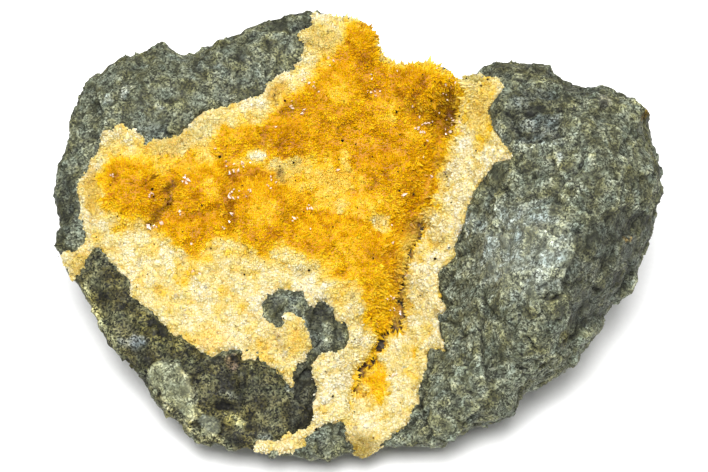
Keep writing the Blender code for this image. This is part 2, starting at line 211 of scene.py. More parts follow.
@dataclass(frozen=True)
class SightSheet:
    """The sheet that the outlines were drawn on, square to the line of sight.

    It leans through the middle of the stone. Depth is the way from it toward the eye,
    along the line of sight.
    """

    centre: tuple[float, float] = (354.0, 236.0)
    stone_width: float = 140 * MM
    stone_squares: float = 611.0
    height: float = 31 * MM
    elevation: float = math.radians(50)
    eye_distance: float = 700 * MM

    @property
    def square(self) -> float:
        """Side of one square, in metres."""
        return self.stone_width / self.stone_squares

    @property
    def toward_eye(self) -> np.ndarray:
        """Unit direction from the sheet to the eye."""
        return np.array([0.0, -math.cos(self.elevation), math.sin(self.elevation)])

    @property
    def upward(self) -> np.ndarray:
        """Unit direction up the sheet."""
        return np.array([0.0, math.sin(self.elevation), math.cos(self.elevation)])

    @property
    def eye(self) -> np.ndarray:
        """Where the eye is."""
        return np.array([0.0, 0.0, self.height]) + self.toward_eye * self.eye_distance

    def read(self, points: np.ndarray) -> np.ndarray:
        """Reads where points are seen on the sheet.

        Args:
            points: places in space, one row each, in metres.

        Returns:
            x, y in squares and the depth in metres, one row each.
        """
        offset = points - np.array([0.0, 0.0, self.height])
        depth = offset @ self.toward_eye
        shrink = 1 - depth / self.eye_distance
        across = offset[:, 0] / shrink / self.square + self.centre[0]
        down = self.centre[1] - offset @ self.upward / shrink / self.square
        return np.stack([across, down, depth], axis=1)

    def facing(self, points: np.ndarray, normals: np.ndarray) -> np.ndarray:
        """Works out how squarely a surface faces the eye.

        Args:
            points: places on the surface, one row each.
            normals: its unit normals there.

        Returns:
            1 where it faces the eye, 0 where it is edge on, to -1 where it faces away.
        """
        sight = self.eye - points
        sight /= np.linalg.norm(sight, axis=1)[:, None]
        return (sight * normals).sum(axis=1)


SHEET = SightSheet()


@dataclass(frozen=True)
class Oval:
    """A soft-edged oval on the sheet, in squares, turned clockwise in degrees.

    Its core is the share of its half sizes that is in full strength.
    """

    x: float
    y: float
    half_width: float
    half_height: float
    turn: float = 0.0
    core: float = 0.45

    def share(self, places: np.ndarray) -> np.ndarray:
        """Works out its share in each place.

        Args:
            places: x and y in squares, one row each.

        Returns:
            1 in its core, easing to 0 at its edge.
        """
        turn = math.radians(self.turn)
        offset = places[:, :2] - (self.x, self.y)
        along = offset @ (math.cos(turn), math.sin(turn)) / self.half_width
        aside = offset @ (-math.sin(turn), math.cos(turn)) / self.half_height
        return 1 - eased(np.hypot(along, aside), self.core, 1.0)


@dataclass(frozen=True)
class Area:
    """An area inside a given outline, which fades over soft squares each way."""

    corners: tuple[tuple[float, float], ...]
    soft: float = 4.0

    def share(self, places: np.ndarray) -> np.ndarray:
        """Works out its share in each place.

        Args:
            places: x and y in squares, one row each.

        Returns:
            1 well inside it, easing to 0 well outside.
        """
        outline = np.array(self.corners, float)
        distance = distance_to_line(places[:, :2], outline, closed=True)
        signed = np.where(inside_outline(places[:, :2], outline), distance, -distance)
        return eased(signed, -self.soft, self.soft)


@dataclass(frozen=True)
class Line:
    """A narrow mark along a given line, strongest in its middle."""

    corners: tuple[tuple[float, float], ...]
    half_width: float = 2.0

    def share(self, places: np.ndarray) -> np.ndarray:
        """1 on the line, fading away from it."""
        distance = distance_to_line(places[:, :2], np.array(self.corners, float), closed=False)
        return np.exp(-(distance / self.half_width) ** 2)


@dataclass(frozen=True)
class Mark:
    """Where a surface differs, and by how much: a tint, a colour or a rise in millimetres."""

    shape: Oval | Area | Line
    value: float | str
    strength: float = 1.0


def blended(marks: Sequence[Mark], places: np.ndarray, start: np.ndarray) -> np.ndarray:
    """Lays marks over a starting value, one after the other.

    Args:
        marks: what to lay, in order.
        places: x and y in squares, one row each.
        start: the value before the first mark, one or several numbers for each place.

    Returns:
        The values after the last mark.
    """
    values = start.copy()
    for mark in marks:
        share = mark.shape.share(places) * mark.strength
        if isinstance(mark.value, str):
            values += share[:, None] * (np.array(linear(mark.value)[:3]) - values)
        else:
            values += share * (mark.value - values)
    return values


def rows_of(items: bpy.types.bpy_prop_collection, name: str) -> np.ndarray:
    """Reads three numbers of each of a mesh's items.

    Args:
        items: its points, its faces or their normals.
        name: the property to read.

    Returns:
        The numbers, one row for each item.
    """
    values = np.zeros(len(items) * 3, np.float32)
    items.foreach_get(name, values)
    return values.reshape(-1, 3).astype(float)


class Surface:
    """A mesh whose points are read, moved and written back as one array."""

    # The two steps of a smoothing pass: the first shrinks the form, the second swells it back
    SMOOTHING = (0.60, -0.62)

    def __init__(self, mesh: bpy.types.Mesh) -> None:
        """Reads the mesh's points and edges.

        Args:
            mesh: the mesh.
        """
        self.mesh = mesh
        self.points = rows_of(mesh.vertices, "co")
        edges = np.zeros(len(mesh.edges) * 2, np.int32)
        mesh.edges.foreach_get("vertices", edges)
        self.edges = edges.reshape(-1, 2)
        self.links = np.bincount(edges, minlength=len(self.points))

    def write(self) -> None:
        """Gives the points back to the mesh."""
        self.mesh.vertices.foreach_set("co", self.points.astype(np.float32).ravel())
        self.mesh.update()

    def normals(self) -> np.ndarray:
        """Unit normals of the mesh as it stands now."""
        self.write()
        return rows_of(self.mesh.vertex_normals, "vector")

    def averaged(self, values: np.ndarray) -> np.ndarray:
        """Takes the mean of each point's neighbours.

        Args:
            values: one value for each point.

        Returns:
            The means, in the same order.
        """
        first, second = self.edges[:, 0], self.edges[:, 1]
        total = np.bincount(first, weights=values[second], minlength=len(values))
        total += np.bincount(second, weights=values[first], minlength=len(values))
        return total / np.maximum(self.links, 1)

    def smooth(self, passes: int, hold: np.ndarray | None = None) -> None:
        """Smooths the points and keeps the form's volume.

        Args:
            passes: how many times it smooths and swells back.
            hold: 0 where a point moves freely, to 1 where it stays.
        """
        free = 1.0 if hold is None else 1 - hold
        for _ in range(passes):
            for strength in self.SMOOTHING:
                for axis in range(3):
                    column = self.points[:, axis]
                    column += strength * free * (self.averaged(column) - column)

    def push(self, amount: np.ndarray) -> None:
        """Moves each point along its normal by its own amount, in metres."""
        self.points += self.normals() * amount[:, None]

    def snap(self, tree: BVHTree) -> None:
        """Moves each point to the nearest place on another surface."""
        self.points = np.array([tree.find_nearest(Vector(point))[0] for point in self.points])

    def standing_out(self, amount: np.ndarray, passes: int) -> np.ndarray:
        """Works out how far each point's own rise is above the mean of its surroundings.

        Args:
            amount: each point's rise.
            passes: how wide the surroundings are, in steps from point to point.

        Returns:
            The differences, in the unit of the rises.
        """
        mean = amount
        for _ in range(passes):
            mean = self.averaged(mean)
        return amount - mean

    def keep(self, name: str, values: np.ndarray) -> None:
        """Stores a number, or a colour of three numbers, for each point.

        Args:
            name: what the materials know it by.
            values: one number, or one row of three, for each point.
        """
        if values.ndim == 1:
            layer = self.mesh.attributes.new(name, "FLOAT", "POINT")
            layer.data.foreach_set("value", values.astype(np.float32))
            return
        layer = self.mesh.attributes.new(name, "FLOAT_COLOR", "POINT")
        rows = np.column_stack([values, np.ones(len(values))])
        layer.data.foreach_set("color", rows.astype(np.float32).ravel())


def remeshed(name: str, sources: Sequence[bpy.types.Mesh], voxel: float) -> bpy.types.Mesh:
    """Wraps one closed skin of small even squares around several meshes.

    Args:
        name: the new mesh's name.
        sources: closed meshes, which may overlap.
        voxel: side of a square, in metres.

    Returns:
        The new mesh.
    """
    corners: list[Vector] = []
    faces: list[list[int]] = []
    for source in sources:
        first = len(corners)
        corners.extend(vertex.co for vertex in source.vertices)
        faces.extend([first + i for i in face.vertices] for face in source.polygons)
    joined = bpy.data.meshes.new(name + "_joined")
    joined.from_pydata(corners, [], faces)
    holder = bpy.data.objects.new(name + "_holder", joined)
    bpy.context.scene.collection.objects.link(holder)
    skin = holder.modifiers.new("even_skin", "REMESH")
    skin.mode = "VOXEL"
    skin.voxel_size = voxel
    wrapped = holder.evaluated_get(bpy.context.evaluated_depsgraph_get())
    result = bpy.data.meshes.new_from_object(wrapped)
    result.name = name
    bpy.data.objects.remove(holder, do_unlink=True)
    bpy.data.meshes.remove(joined)
    return result


def refined(mesh: bpy.types.Mesh, chosen: np.ndarray) -> None:
    """Halves the squares of the chosen faces, in place.

    Args:
        mesh: a mesh of squares.
        chosen: one true or false for each face.
    """
    form = bmesh.new()
    form.from_mesh(mesh)
    form.faces.ensure_lookup_table()
    form.edges.ensure_lookup_table()
    touched = {edge.index for index in np.nonzero(chosen)[0] for edge in form.faces[index].edges}
    bmesh.ops.subdivide_edges(
        form, edges=[form.edges[index] for index in sorted(touched)], cuts=1,
        use_grid_fill=True, use_single_edge=True)
    bmesh.ops.triangulate(form, faces=[face for face in form.faces if len(face.verts) > 4])
    form.to_mesh(mesh)
    form.free()


def face_places(mesh: bpy.types.Mesh) -> tuple[np.ndarray, np.ndarray]:
    """Middles and normals of a mesh's faces, one row each."""
    return rows_of(mesh.polygons, "center"), rows_of(mesh.polygon_normals, "vector")


def tree_of(mesh: bpy.types.Mesh) -> BVHTree:
    """A search tree over a mesh's faces."""
    return BVHTree.FromPolygons([v.co for v in mesh.vertices], [f.vertices[:] for f in mesh.polygons])


def piece_from(
    name: str, mesh: bpy.types.Mesh, material: bpy.types.Material, smooth: bool,
) -> bpy.types.Object:
    """Puts a finished mesh in the scene as a piece of the stone.

    Args:
        name: the piece's name.
        mesh: its mesh, in the frame's own place.
        material: its finish.
        smooth: whether it is shaded smooth.

    Returns:
        The new object.
    """
    mesh.materials.clear()
    mesh.materials.append(material)
    if smooth:
        mesh.shade_smooth()
    else:
        mesh.shade_flat()
    piece = bpy.data.objects.new(name, mesh)
    bpy.context.scene.collection.objects.link(piece)
    return piece


def fill(
    tree: bpy.types.NodeTree,
    node: bpy.types.Node,
    values: dict[str | int, object] | None = None,
    links: dict[str | int, bpy.types.NodeSocket] | None = None,
) -> None:
    """Sets and links a node's input sockets.

    Args:
        tree: the node tree it stands in.
        node: the node.
        values: what its input sockets hold, by name or place.
        links: the output sockets that feed its input sockets, by name or place.
    """
    for socket, value in (values or {}).items():
        node.inputs[socket].default_value = value
    for socket, source in (links or {}).items():
        tree.links.new(source, node.inputs[socket])


def add_node(
    tree: bpy.types.NodeTree,
    kind: str,
    values: dict[str | int, object] | None = None,
    links: dict[str | int, bpy.types.NodeSocket] | None = None,
    stops: Stops = (),
    **settings: object,
) -> bpy.types.Node:
    """Adds a node with its settings and links.

    Args:
        tree: the node tree of a material or the world.
        kind: the node's type, such as "ShaderNodeTexNoise".
        values: what its input sockets hold, by name or place.
        links: the output sockets that feed its input sockets, by name or place.
        stops: for a colour ramp, each stop's place and hex colour, in order.
        settings: the node's own properties, such as operation.

    Returns:
        The new node.
    """
    node = tree.nodes.new(kind)
    for name, setting in settings.items():
        setattr(node, name, setting)
    fill(tree, node, values, links)
    for index, (place, colour) in enumerate(stops):
        elements = node.color_ramp.elements
        stop = elements[index] if index < 2 else elements.new(place)
        stop.position = place
        stop.color = linear(colour)
    return node


def new_material(name: str) -> tuple[bpy.types.Material, bpy.types.NodeTree, bpy.types.Node]:
    """Makes a material that has only a Principled shader.

    Args:
        name: what the real one is and how its surface was made.

    Returns:
        The material, its node tree and the shader.
    """
    material = bpy.data.materials.new(name)
    material.use_nodes = True
    tree = material.node_tree
    return material, tree, tree.nodes["Principled BSDF"]


# Sockets of a Mix node: its factor, the two numbers or the two colours it mixes, and its results
MIX_FACTOR, NUMBER_FIRST, NUMBER_SECOND, MIX_FIRST, MIX_SECOND = 0, 2, 3, 6, 7
NUMBER_RESULT, MIX_RESULT = 0, 2
MULTIPLIED = {"data_type": "RGBA", "blend_type": "MULTIPLY"}

# How far red, green and blue light stray inside calcite, as shares of its glow's depth
CALCITE_STRAY = (1.0, 0.95, 0.8)


@dataclass(frozen=True)
class BasaltFinish:
    """Basalt, broken by a hammer: dull, grey-green, with a salt-and-pepper grain.

    Its grains are feldspar (pale) and augite (dark). That gives the eye a fine hard speckle
    with no gloss but a few glints. Real grains are a tenth to half a millimetre across; the
    finest wouldn't show, so none is drawn under a quarter of a millimetre. Patches of pale and
    dark rock bend thin cracks and small pits, which are darker. Widths and depths are in
    metres, and a range is where something starts and where it ends.
    """

    grain: float = 0.36 * MM
    clot: float = 0.75 * MM
    clot_share: float = 0.15
    grit: float = 0.27 * MM
    grit_share: float = 0.15
    speckle: Stops = (
        (0.14, "#10110D"), (0.32, "#62645C"), (0.50, "#A4A69E"), (0.70, "#D6D8D2"), (0.88, "#FFFFFF"))
    patch: float = 4.2 * MM
    patches: Stops = (
        (0.32, "#55574C"), (0.40, "#9C9B84"), (0.46, "#BABCB2"), (0.55, "#DCE2E2"), (0.66, "#F4F6F6"))
    hues: Stops = ((0.38, "#FFF8D6"), (0.50, "#FFFFFF"), (0.62, "#E6F0FC"))
    plain: str = "#A2A49A"
    bend: float = 0.7
    crack: float = 4.2 * MM
    crack_patch: float = -0.22
    crack_range: tuple[float, float] = (-0.125, -0.085)
    crack_shade: float = 0.35
    pit: float = 3.0 * MM
    pit_range: tuple[float, float] = (0.08, 0.16)
    pit_shade: float = 0.2
    gloss_range: tuple[float, float] = (0.3, 0.95)
    roughness: float = 0.66
    duller: float = 0.16
    glossier: float = 0.14
    ior: float = 1.55
    specular: float = 0.2
    relief: float = 0.10 * MM

    def make(self) -> bpy.types.Material:
        """Builds the material.

        Returns:
            The material.
        """
        material, tree, shader = new_material("basalt_broken")
        place = add_node(tree, "ShaderNodeTexCoord").outputs["Object"]
        warp = add_node(
            tree, "ShaderNodeTexNoise", {"Scale": 1 / self.patch, "Detail": 5.0, "Roughness": 0.6},
            {"Vector": place})
        cells = []
        for width in (self.grain, self.clot):
            grains = add_node(tree, "ShaderNodeTexVoronoi", {"Scale": 1 / width}, {"Vector": place})
            cell = add_node(tree, "ShaderNodeSeparateColor", links={"Color": grains.outputs["Color"]})
            cells.append(cell.outputs)
        grit = add_node(
            tree, "ShaderNodeTexNoise", {"Scale": 1 / self.grit, "Detail": 3.0, "Roughness": 0.75},
            {"Vector": place})
        speckle = cells[0]["Red"]
        for share, other in ((self.clot_share, cells[1]["Red"]), (self.grit_share, grit.outputs["Fac"])):
            speckle = add_node(
                tree, "ShaderNodeMix", {MIX_FACTOR: share},
                {NUMBER_FIRST: speckle, NUMBER_SECOND: other}).outputs[NUMBER_RESULT]
        colour = self.coloured(tree, place, warp, speckle)
        rough = add_node(
            tree, "ShaderNodeMapRange",
            {"From Min": self.gloss_range[0], "From Max": self.gloss_range[1],
             "To Min": self.roughness + self.duller, "To Max": self.roughness - self.glossier},
            {"Value": cells[0]["Green"]})
        bump = add_node(
            tree, "ShaderNodeBump", {"Strength": 1.0, "Distance": self.relief}, {"Height": speckle})
        fill(
            tree, shader, {"IOR": self.ior, "Specular IOR Level": self.specular},
            {"Base Color": colour, "Roughness": rough.outputs["Result"], "Normal": bump.outputs["Normal"]})
        return material

    def coloured(
        self, tree: bpy.types.NodeTree, place: bpy.types.NodeSocket, warp: bpy.types.Node,
        speckle: bpy.types.NodeSocket,
    ) -> bpy.types.NodeSocket:
        """Adds the rock's colour: speckle and patches, gaps, and stains with painted light and shade.

        Args:
            tree: the material's node tree.
            place: the place on the stone.
            warp: the noise that bends cracks and pits.
            speckle: from 0 in the darkest grain to 1 in the palest.

        Returns:
            The socket that gives the colour.
        """
        patches = add_node(
            tree, "ShaderNodeTexNoise",
            {"Scale": 1 / self.patch, "Detail": 2.5, "Roughness": 0.6, "Distortion": 0.6}, {"Vector": place})
        shift = add_node(tree, "ShaderNodeSeparateColor", links={"Color": warp.outputs["Color"]})
        grains, tints, hues = (
            add_node(tree, "ShaderNodeValToRGB", links={"Fac": source}, stops=stops).outputs["Color"]
            for source, stops in (
                (speckle, self.speckle), (patches.outputs["Fac"], self.patches),
                (shift.outputs["Green"], self.hues)))
        bent = add_node(
            tree, "ShaderNodeVectorMath", {1: (self.bend * self.patch,) * 3},
            {0: warp.outputs["Color"], 2: place}, operation="MULTIPLY_ADD").outputs["Vector"]
        cracks = add_node(
            tree, "ShaderNodeTexVoronoi", {"Scale": 1 / self.crack}, {"Vector": bent},
            feature="DISTANCE_TO_EDGE")
        open_cracks = add_node(
            tree, "ShaderNodeMath", {1: self.crack_patch},
            {0: warp.outputs["Fac"], 2: cracks.outputs["Distance"]}, operation="MULTIPLY_ADD")
        pits = add_node(tree, "ShaderNodeTexVoronoi", {"Scale": 1 / self.pit}, {"Vector": bent})
        crack_tone, pit_tone = (
            add_node(
                tree, "ShaderNodeMapRange",
                {"From Min": low, "From Max": high, "To Min": shade, "To Max": 1.0},
                {"Value": source}).outputs["Result"]
            for source, (low, high), shade in (
                (open_cracks.outputs[0], self.crack_range, self.crack_shade),
                (pits.outputs["Distance"], self.pit_range, self.pit_shade)))
        gaps = add_node(tree, "ShaderNodeMath", links={0: crack_tone, 1: pit_tone}, operation="MULTIPLY")
        # The stored stains, which carry painted light and painted shade as well
        stain_and_shade = add_node(tree, "ShaderNodeAttribute", attribute_name="stain_and_shade")
        contrast = add_node(tree, "ShaderNodeAttribute", attribute_name="contrast")
        colour = grains
        for layer in (tints, hues):
            colour = add_node(
                tree, "ShaderNodeMix", {MIX_FACTOR: 1.0}, {MIX_FIRST: colour, MIX_SECOND: layer},
                **MULTIPLIED).outputs[MIX_RESULT]
        colour = add_node(
            tree, "ShaderNodeMix", {MIX_FIRST: linear(self.plain)},
            {MIX_FACTOR: contrast.outputs["Fac"], MIX_SECOND: colour}, data_type="RGBA",
            clamp_factor=False).outputs[MIX_RESULT]
        for layer in (gaps.outputs[0], stain_and_shade.outputs["Color"]):
            colour = add_node(
                tree, "ShaderNodeMix", {MIX_FACTOR: 1.0}, {MIX_FIRST: colour, MIX_SECOND: layer},
                **MULTIPLIED).outputs[MIX_RESULT]
        return colour


@dataclass(frozen=True)
class CrustFinish:
    """Calcite crust, grown grain on grain: what shows between its crystals.

    It is translucent but cloudy, so the eye sees soft colour with a fine sugary grain.
    """

    grain: float = 0.42 * MM
    sugar_share: float = 0.5
    sugar: Stops = ((0.15, "#D9BE90"), (0.45, "#F2E8D4"), (0.85, "#FFFFFF"))
    roughness: float = 0.55
    ior: float = 1.6
    specular: float = 0.2
    relief: float = 0.22 * MM
    relief_strength: float = 0.8
    glow: float = 0.2
    glow_depth: float = 0.9 * MM

    def make(self) -> bpy.types.Material:
        """Builds the material.

        Returns:
            The material.
        """
        material, tree, shader = new_material("calcite_crust_grown")
        place = add_node(tree, "ShaderNodeTexCoord").outputs["Object"]
        tint = add_node(tree, "ShaderNodeAttribute", attribute_name="tint")
        grains = add_node(tree, "ShaderNodeTexVoronoi", {"Scale": 1 / self.grain}, {"Vector": place})
        split = add_node(tree, "ShaderNodeSeparateColor", links={"Color": grains.outputs["Color"]})
        sugar = add_node(
            tree, "ShaderNodeTexNoise", {"Scale": 1 / self.grain, "Detail": 3.0}, {"Vector": place})
        mixed = add_node(
            tree, "ShaderNodeMix", {MIX_FACTOR: self.sugar_share},
            {NUMBER_FIRST: split.outputs["Red"], NUMBER_SECOND: sugar.outputs["Fac"]}).outputs[NUMBER_RESULT]
        shade = add_node(tree, "ShaderNodeValToRGB", links={"Fac": mixed}, stops=self.sugar)
        colour = add_node(
            tree, "ShaderNodeMix", {MIX_FACTOR: 1.0},
            {MIX_FIRST: tint.outputs["Color"], MIX_SECOND: shade.outputs["Color"]}, **MULTIPLIED)
        bump = add_node(
            tree, "ShaderNodeBump", {"Strength": self.relief_strength, "Distance": self.relief},
            {"Height": mixed})
        fill(
            tree, shader,
            {"Roughness": self.roughness, "IOR": self.ior, "Specular IOR Level": self.specular,
             "Subsurface Weight": self.glow, "Subsurface Radius": CALCITE_STRAY,
             "Subsurface Scale": self.glow_depth},
            {"Base Color": colour.outputs[MIX_RESULT], "Normal": bump.outputs["Normal"]})
        return material


@dataclass(frozen=True)
class CrystalFinish:
    """Calcite crystals, as grown: glassy faces over a cloudy, coloured inside.

    Each crystal is paler at its tip, where it is clearest, and deeper at its foot.
    """

    name: str = "calcite_crystal_grown"
    roughness: float = 0.34
    ior: float = 1.62
    specular: float = 0.06
    clearness: float = 0.06
    glow: float = 0.9
    glow_depth: float = 0.35 * MM
    foot: str = "#EBDBA9"
    foot_reach: float = 0.2
    tip: str = "#FFFFFF"
    tip_reach: float = 0.85

    def make(self) -> bpy.types.Material:
        """Builds the material.

        Returns:
            The material.
        """
        material, tree, shader = new_material(self.name)
        tint = add_node(tree, "ShaderNodeAttribute", attribute_name="tint")
        reach = add_node(tree, "ShaderNodeAttribute", attribute_name="reach")
        shade = add_node(
            tree, "ShaderNodeValToRGB", links={"Fac": reach.outputs["Fac"]},
            stops=((self.foot_reach, self.foot), (self.tip_reach, self.tip)))
        colour = add_node(
            tree, "ShaderNodeMix", {MIX_FACTOR: 1.0},
            {MIX_FIRST: tint.outputs["Color"], MIX_SECOND: shade.outputs["Color"]}, **MULTIPLIED)
        fill(
            tree, shader,
            {"Roughness": self.roughness, "IOR": self.ior, "Specular IOR Level": self.specular,
             "Transmission Weight": self.clearness, "Subsurface Weight": self.glow,
             "Subsurface Radius": CALCITE_STRAY, "Subsurface Scale": self.glow_depth},
            {"Base Color": colour.outputs[MIX_RESULT]})
        return material


@dataclass(frozen=True)
class GrainFinish:
    """Dark ore grains scattered on the crust: tiny, black, half dull."""

    dark: str = "#090705"
    dark_reach: float = 0.3
    pale: str = "#1A140E"
    pale_reach: float = 0.7
    roughness: float = 0.7
    ior: float = 1.6
    specular: float = 0.1
    grain: float = 0.2 * MM

    def make(self) -> bpy.types.Material:
        """Builds the material.

        Returns:
            The material.
        """
        material, tree, shader = new_material("ore_grain")
        place = add_node(tree, "ShaderNodeTexCoord").outputs["Object"]
        grit = add_node(tree, "ShaderNodeTexNoise", {"Scale": 1 / self.grain}, {"Vector": place})
        tone = add_node(
            tree, "ShaderNodeValToRGB", links={"Fac": grit.outputs["Fac"]},
            stops=((self.dark_reach, self.dark), (self.pale_reach, self.pale)))
        fill(
            tree, shader,
            {"Roughness": self.roughness, "IOR": self.ior, "Specular IOR Level": self.specular},
            {"Base Color": tone.outputs["Color"]})
        return material


@dataclass(frozen=True)
class Dome:
    """A dome of radiating crystals on the hollow's floor.

    Its place and half sizes are in squares, its rise in millimetres. Its tint goes from the
    crown, where the crystals point at the eye, to the skirt, which on most domes is deeper:
    partly the calcite's colour and partly painted shade on the dome's sides.
    """

    x: float
    y: float
    half_width: float
    half_height: float
    rise: float
    crown: float
    skirt: float

    # The marks' sizes as shares of the dome's, their cores, and the skirt's strength
    SKIRT_REACH, SKIRT_CORE, SKIRT_STRENGTH = 1.12, 0.6, 0.75
    CROWN_REACH, CROWN_CORE = 0.88, 0.35

    def height(self, places: np.ndarray) -> np.ndarray:
        """Height of the dome over the floor in each place on the sheet, in millimetres."""
        offset = (places[:, :2] - (self.x, self.y)) / (self.half_width, self.half_height)
        return self.rise * np.sqrt(np.clip(1 - (offset ** 2).sum(axis=1), 0, 1))

    def marks(self) -> tuple[Mark, Mark]:
        """Draws its tint.

        Returns:
            Its skirt and, to lay over that, its crown.
        """
        skirt, crown = (
            Oval(self.x, self.y, reach * self.half_width, reach * self.half_height, core=core)
            for reach, core in ((self.SKIRT_REACH, self.SKIRT_CORE), (self.CROWN_REACH, self.CROWN_CORE)))
        return Mark(skirt, self.skirt, self.SKIRT_STRENGTH), Mark(crown, self.crown)


DOMES = (
    Dome(345, 240, 26, 22, 1.6, 0.56, 0.62), Dome(385, 197, 17, 17, 1.6, 0.52, 0.62),
    Dome(413, 133, 14, 12, 1.6, 0.52, 0.66), Dome(232, 138, 20, 16, 1.6, 0.56, 0.64),
    Dome(288, 140, 21, 20, 2.0, 0.74, 0.76), Dome(386, 113, 19, 18, 2.0, 0.46, 0.62),
    Dome(340, 262, 22, 18, 2.0, 0.48, 0.52), Dome(370, 75, 16, 22, 2.0, 0.72, 0.80),
    Dome(425, 183, 16, 20, 2.0, 0.68, 0.76), Dome(438, 84, 18, 14, 2.0, 0.66, 0.76),
    Dome(363, 45, 15, 26, 2.2, 0.72, 0.84), Dome(187, 229, 27, 24, 2.2, 0.68, 0.74),
    Dome(310, 232, 26, 24, 2.4, 0.62, 0.70), Dome(397, 160, 28, 22, 2.4, 0.66, 0.72),
    Dome(410, 84, 22, 18, 2.4, 0.73, 0.80), Dome(340, 93, 22, 24, 2.6, 0.50, 0.68),
    Dome(211, 188, 20, 20, 3.0, 0.52, 0.76), Dome(381, 290, 22, 48, 3.0, 0.57, 0.66),
    Dome(264, 210, 34, 30, 4.0, 0.53, 0.74), Dome(130, 186, 35, 35, 4.5, 0.68, 0.62),
)

# Tint of the calcite from cream to amber-brown
TINT_STOPS = (0.0, 0.2, 0.4, 0.5, 0.65, 0.8, 1.0)
TINT_COLOURS = ("#DAD7C4", "#D0C388", "#D8BA4C", "#DAB51D", "#CA9D06", "#B07E04", "#7E4C03")

# The dark crevice at the foot of the right wall
CREVICE = Line((
    (420, 225), (416, 241), (412, 252), (409, 266), (403, 282), (402, 300),
    (398, 324), (382, 341), (375, 357), (363, 368), (359, 392)), 1.8)

# Where the floor is orange as a whole, and its pale stretch
ORANGE_FLOOR = Area((
    (352, 22), (372, 36), (381, 60), (396, 66), (430, 64), (452, 74), (459, 85), (461, 110), (456, 135),
    (446, 150), (440, 175), (442, 190), (436, 205), (424, 215), (416, 232), (404, 245), (402, 290),
    (398, 322), (386, 338), (374, 330), (368, 312), (362, 292), (352, 280), (335, 270), (318, 262),
    (304, 256), (296, 246), (285, 241), (270, 250), (262, 256), (250, 250), (240, 240), (228, 236),
    (220, 240), (210, 243), (203, 252), (196, 258), (186, 252), (178, 242), (165, 238), (152, 230),
    (145, 222), (120, 219), (104, 215), (97, 200), (99, 180), (107, 165), (111, 152), (120, 157),
    (135, 163), (148, 160), (165, 158), (190, 160), (210, 162), (212, 140), (224, 132), (236, 126),
    (248, 122), (262, 120), (270, 112), (282, 98), (292, 90), (308, 82), (318, 72), (322, 62),
    (330, 52), (342, 40),
), soft=11.0)
PALE_VALLEY = Area((
    (132, 138), (140, 140), (165, 138), (190, 132), (208, 140), (214, 154), (228, 158), (240, 152),
    (250, 145), (262, 148), (268, 158), (280, 160), (296, 160), (312, 158), (325, 150), (345, 152),
    (350, 165), (362, 178), (366, 190), (372, 200), (385, 214), (392, 228), (388, 238), (380, 232),
    (372, 222), (360, 216), (340, 214), (320, 212), (305, 200), (292, 188), (278, 178), (262, 168),
    (240, 163), (215, 160), (190, 165), (165, 172), (150, 165), (138, 160),
), soft=4.0)
TINT_MARKS = (
    Mark(ORANGE_FLOOR, 0.66),
    *(mark for dome in DOMES for mark in dome.marks()),
    Mark(PALE_VALLEY, 0.42, 0.85),
    Mark(Oval(182, 167, 20, 11), 0.48, 0.8),
    Mark(Oval(185, 148, 9, 9), 0.12, 0.7),
    Mark(Oval(258, 154, 11, 8), 0.06, 0.8),
    Mark(Oval(338, 205, 20, 9), 0.20, 0.7),
    Mark(Oval(282, 162, 20, 6), 0.20, 0.6),
    Mark(Oval(380, 223, 13, 13, core=0.2), 0.10, 0.8),
    Mark(Oval(152, 192, 15, 16), 0.80, 0.7),
    Mark(Oval(229, 212, 8, 20), 0.92, 0.8),
    Mark(Oval(234, 174, 12, 7), 0.90, 0.8),
    Mark(Oval(262, 174, 20, 6), 0.82, 0.7),
    Mark(Oval(275, 236, 14, 8), 0.82, 0.6),
    Mark(Oval(410, 207, 15, 12), 0.78, 0.7),
    Mark(Oval(394, 268, 8, 36), 0.80, 0.6),
    Mark(Oval(181, 272, 10, 22, -12), 0.46, 0.8),
    Mark(Oval(125, 226, 26, 8), 0.36, 0.7),
    Mark(Line(((200, 262), (230, 252), (265, 260), (300, 264), (330, 277), (355, 294)), 7.0), 0.32, 0.8),
    Mark(Oval(378, 382, 15, 24, core=0.5), 0.54),
    Mark(Oval(482, 110, 22, 40), 0.38, 0.8),
    Mark(Oval(450, 235, 26, 90, 8), 0.10, 0.7),
    Mark(Oval(415, 365, 30, 44, 20), 0.18, 0.7),
    # Deeper tint along the crevice: partly its colour, partly painted shade in the crack
    Mark(Line(CREVICE.corners, 4.5), 0.80, 0.75),
    Mark(Oval(297, 338, 16, 26), 0.34, 0.8),
    Mark(Oval(92, 196, 9, 34), 0.30, 0.7),
    Mark(Oval(120, 142, 18, 11), 0.26, 0.7),
    Mark(Oval(275, 300, 60, 16, 8), 0.04, 0.8),
)

# Dull, olive or glassy stretches, as colours laid over the tint
CALCITE_STAINS = (
    Mark(Oval(360, 447, 28, 24, core=0.25), "#8E7E3C", 0.85),
    Mark(Oval(172, 146, 36, 13, -4), "#BCAE74", 0.7),
    Mark(Oval(205, 128, 22, 9, -20), "#C4BA80", 0.7),
    Mark(Oval(182, 168, 18, 10), "#D2AE30", 0.5),
    Mark(Oval(322, 40, 22, 22), "#BFAA5C", 0.75),
    Mark(Oval(276, 92, 18, 10, -30), "#BC9C34", 0.85),
    Mark(Oval(297, 336, 13, 24), "#CCB464", 0.6),
    Mark(Oval(91, 190, 8, 38), "#B89C48", 0.75),
    Mark(Oval(482, 108, 16, 30), "#C4AE64", 0.5),
    Mark(Oval(472, 78, 13, 6), "#A3984E", 0.8),
    Mark(Oval(82, 262, 18, 16), "#BCA650", 0.8),
    Mark(Oval(290, 166, 18, 8), "#B4AA6C", 0.6),
    Mark(Oval(283, 176, 8, 14, -25), "#A59C64", 0.6),
    Mark(Oval(330, 178, 34, 12), "#DCC062", 0.4),
    Mark(Line(((420, 222), (407, 245), (403, 298), (397, 322)), 6.0), "#B09A50", 0.6),
    Mark(Oval(212, 338, 26, 14), "#E2C069", 0.5),
)
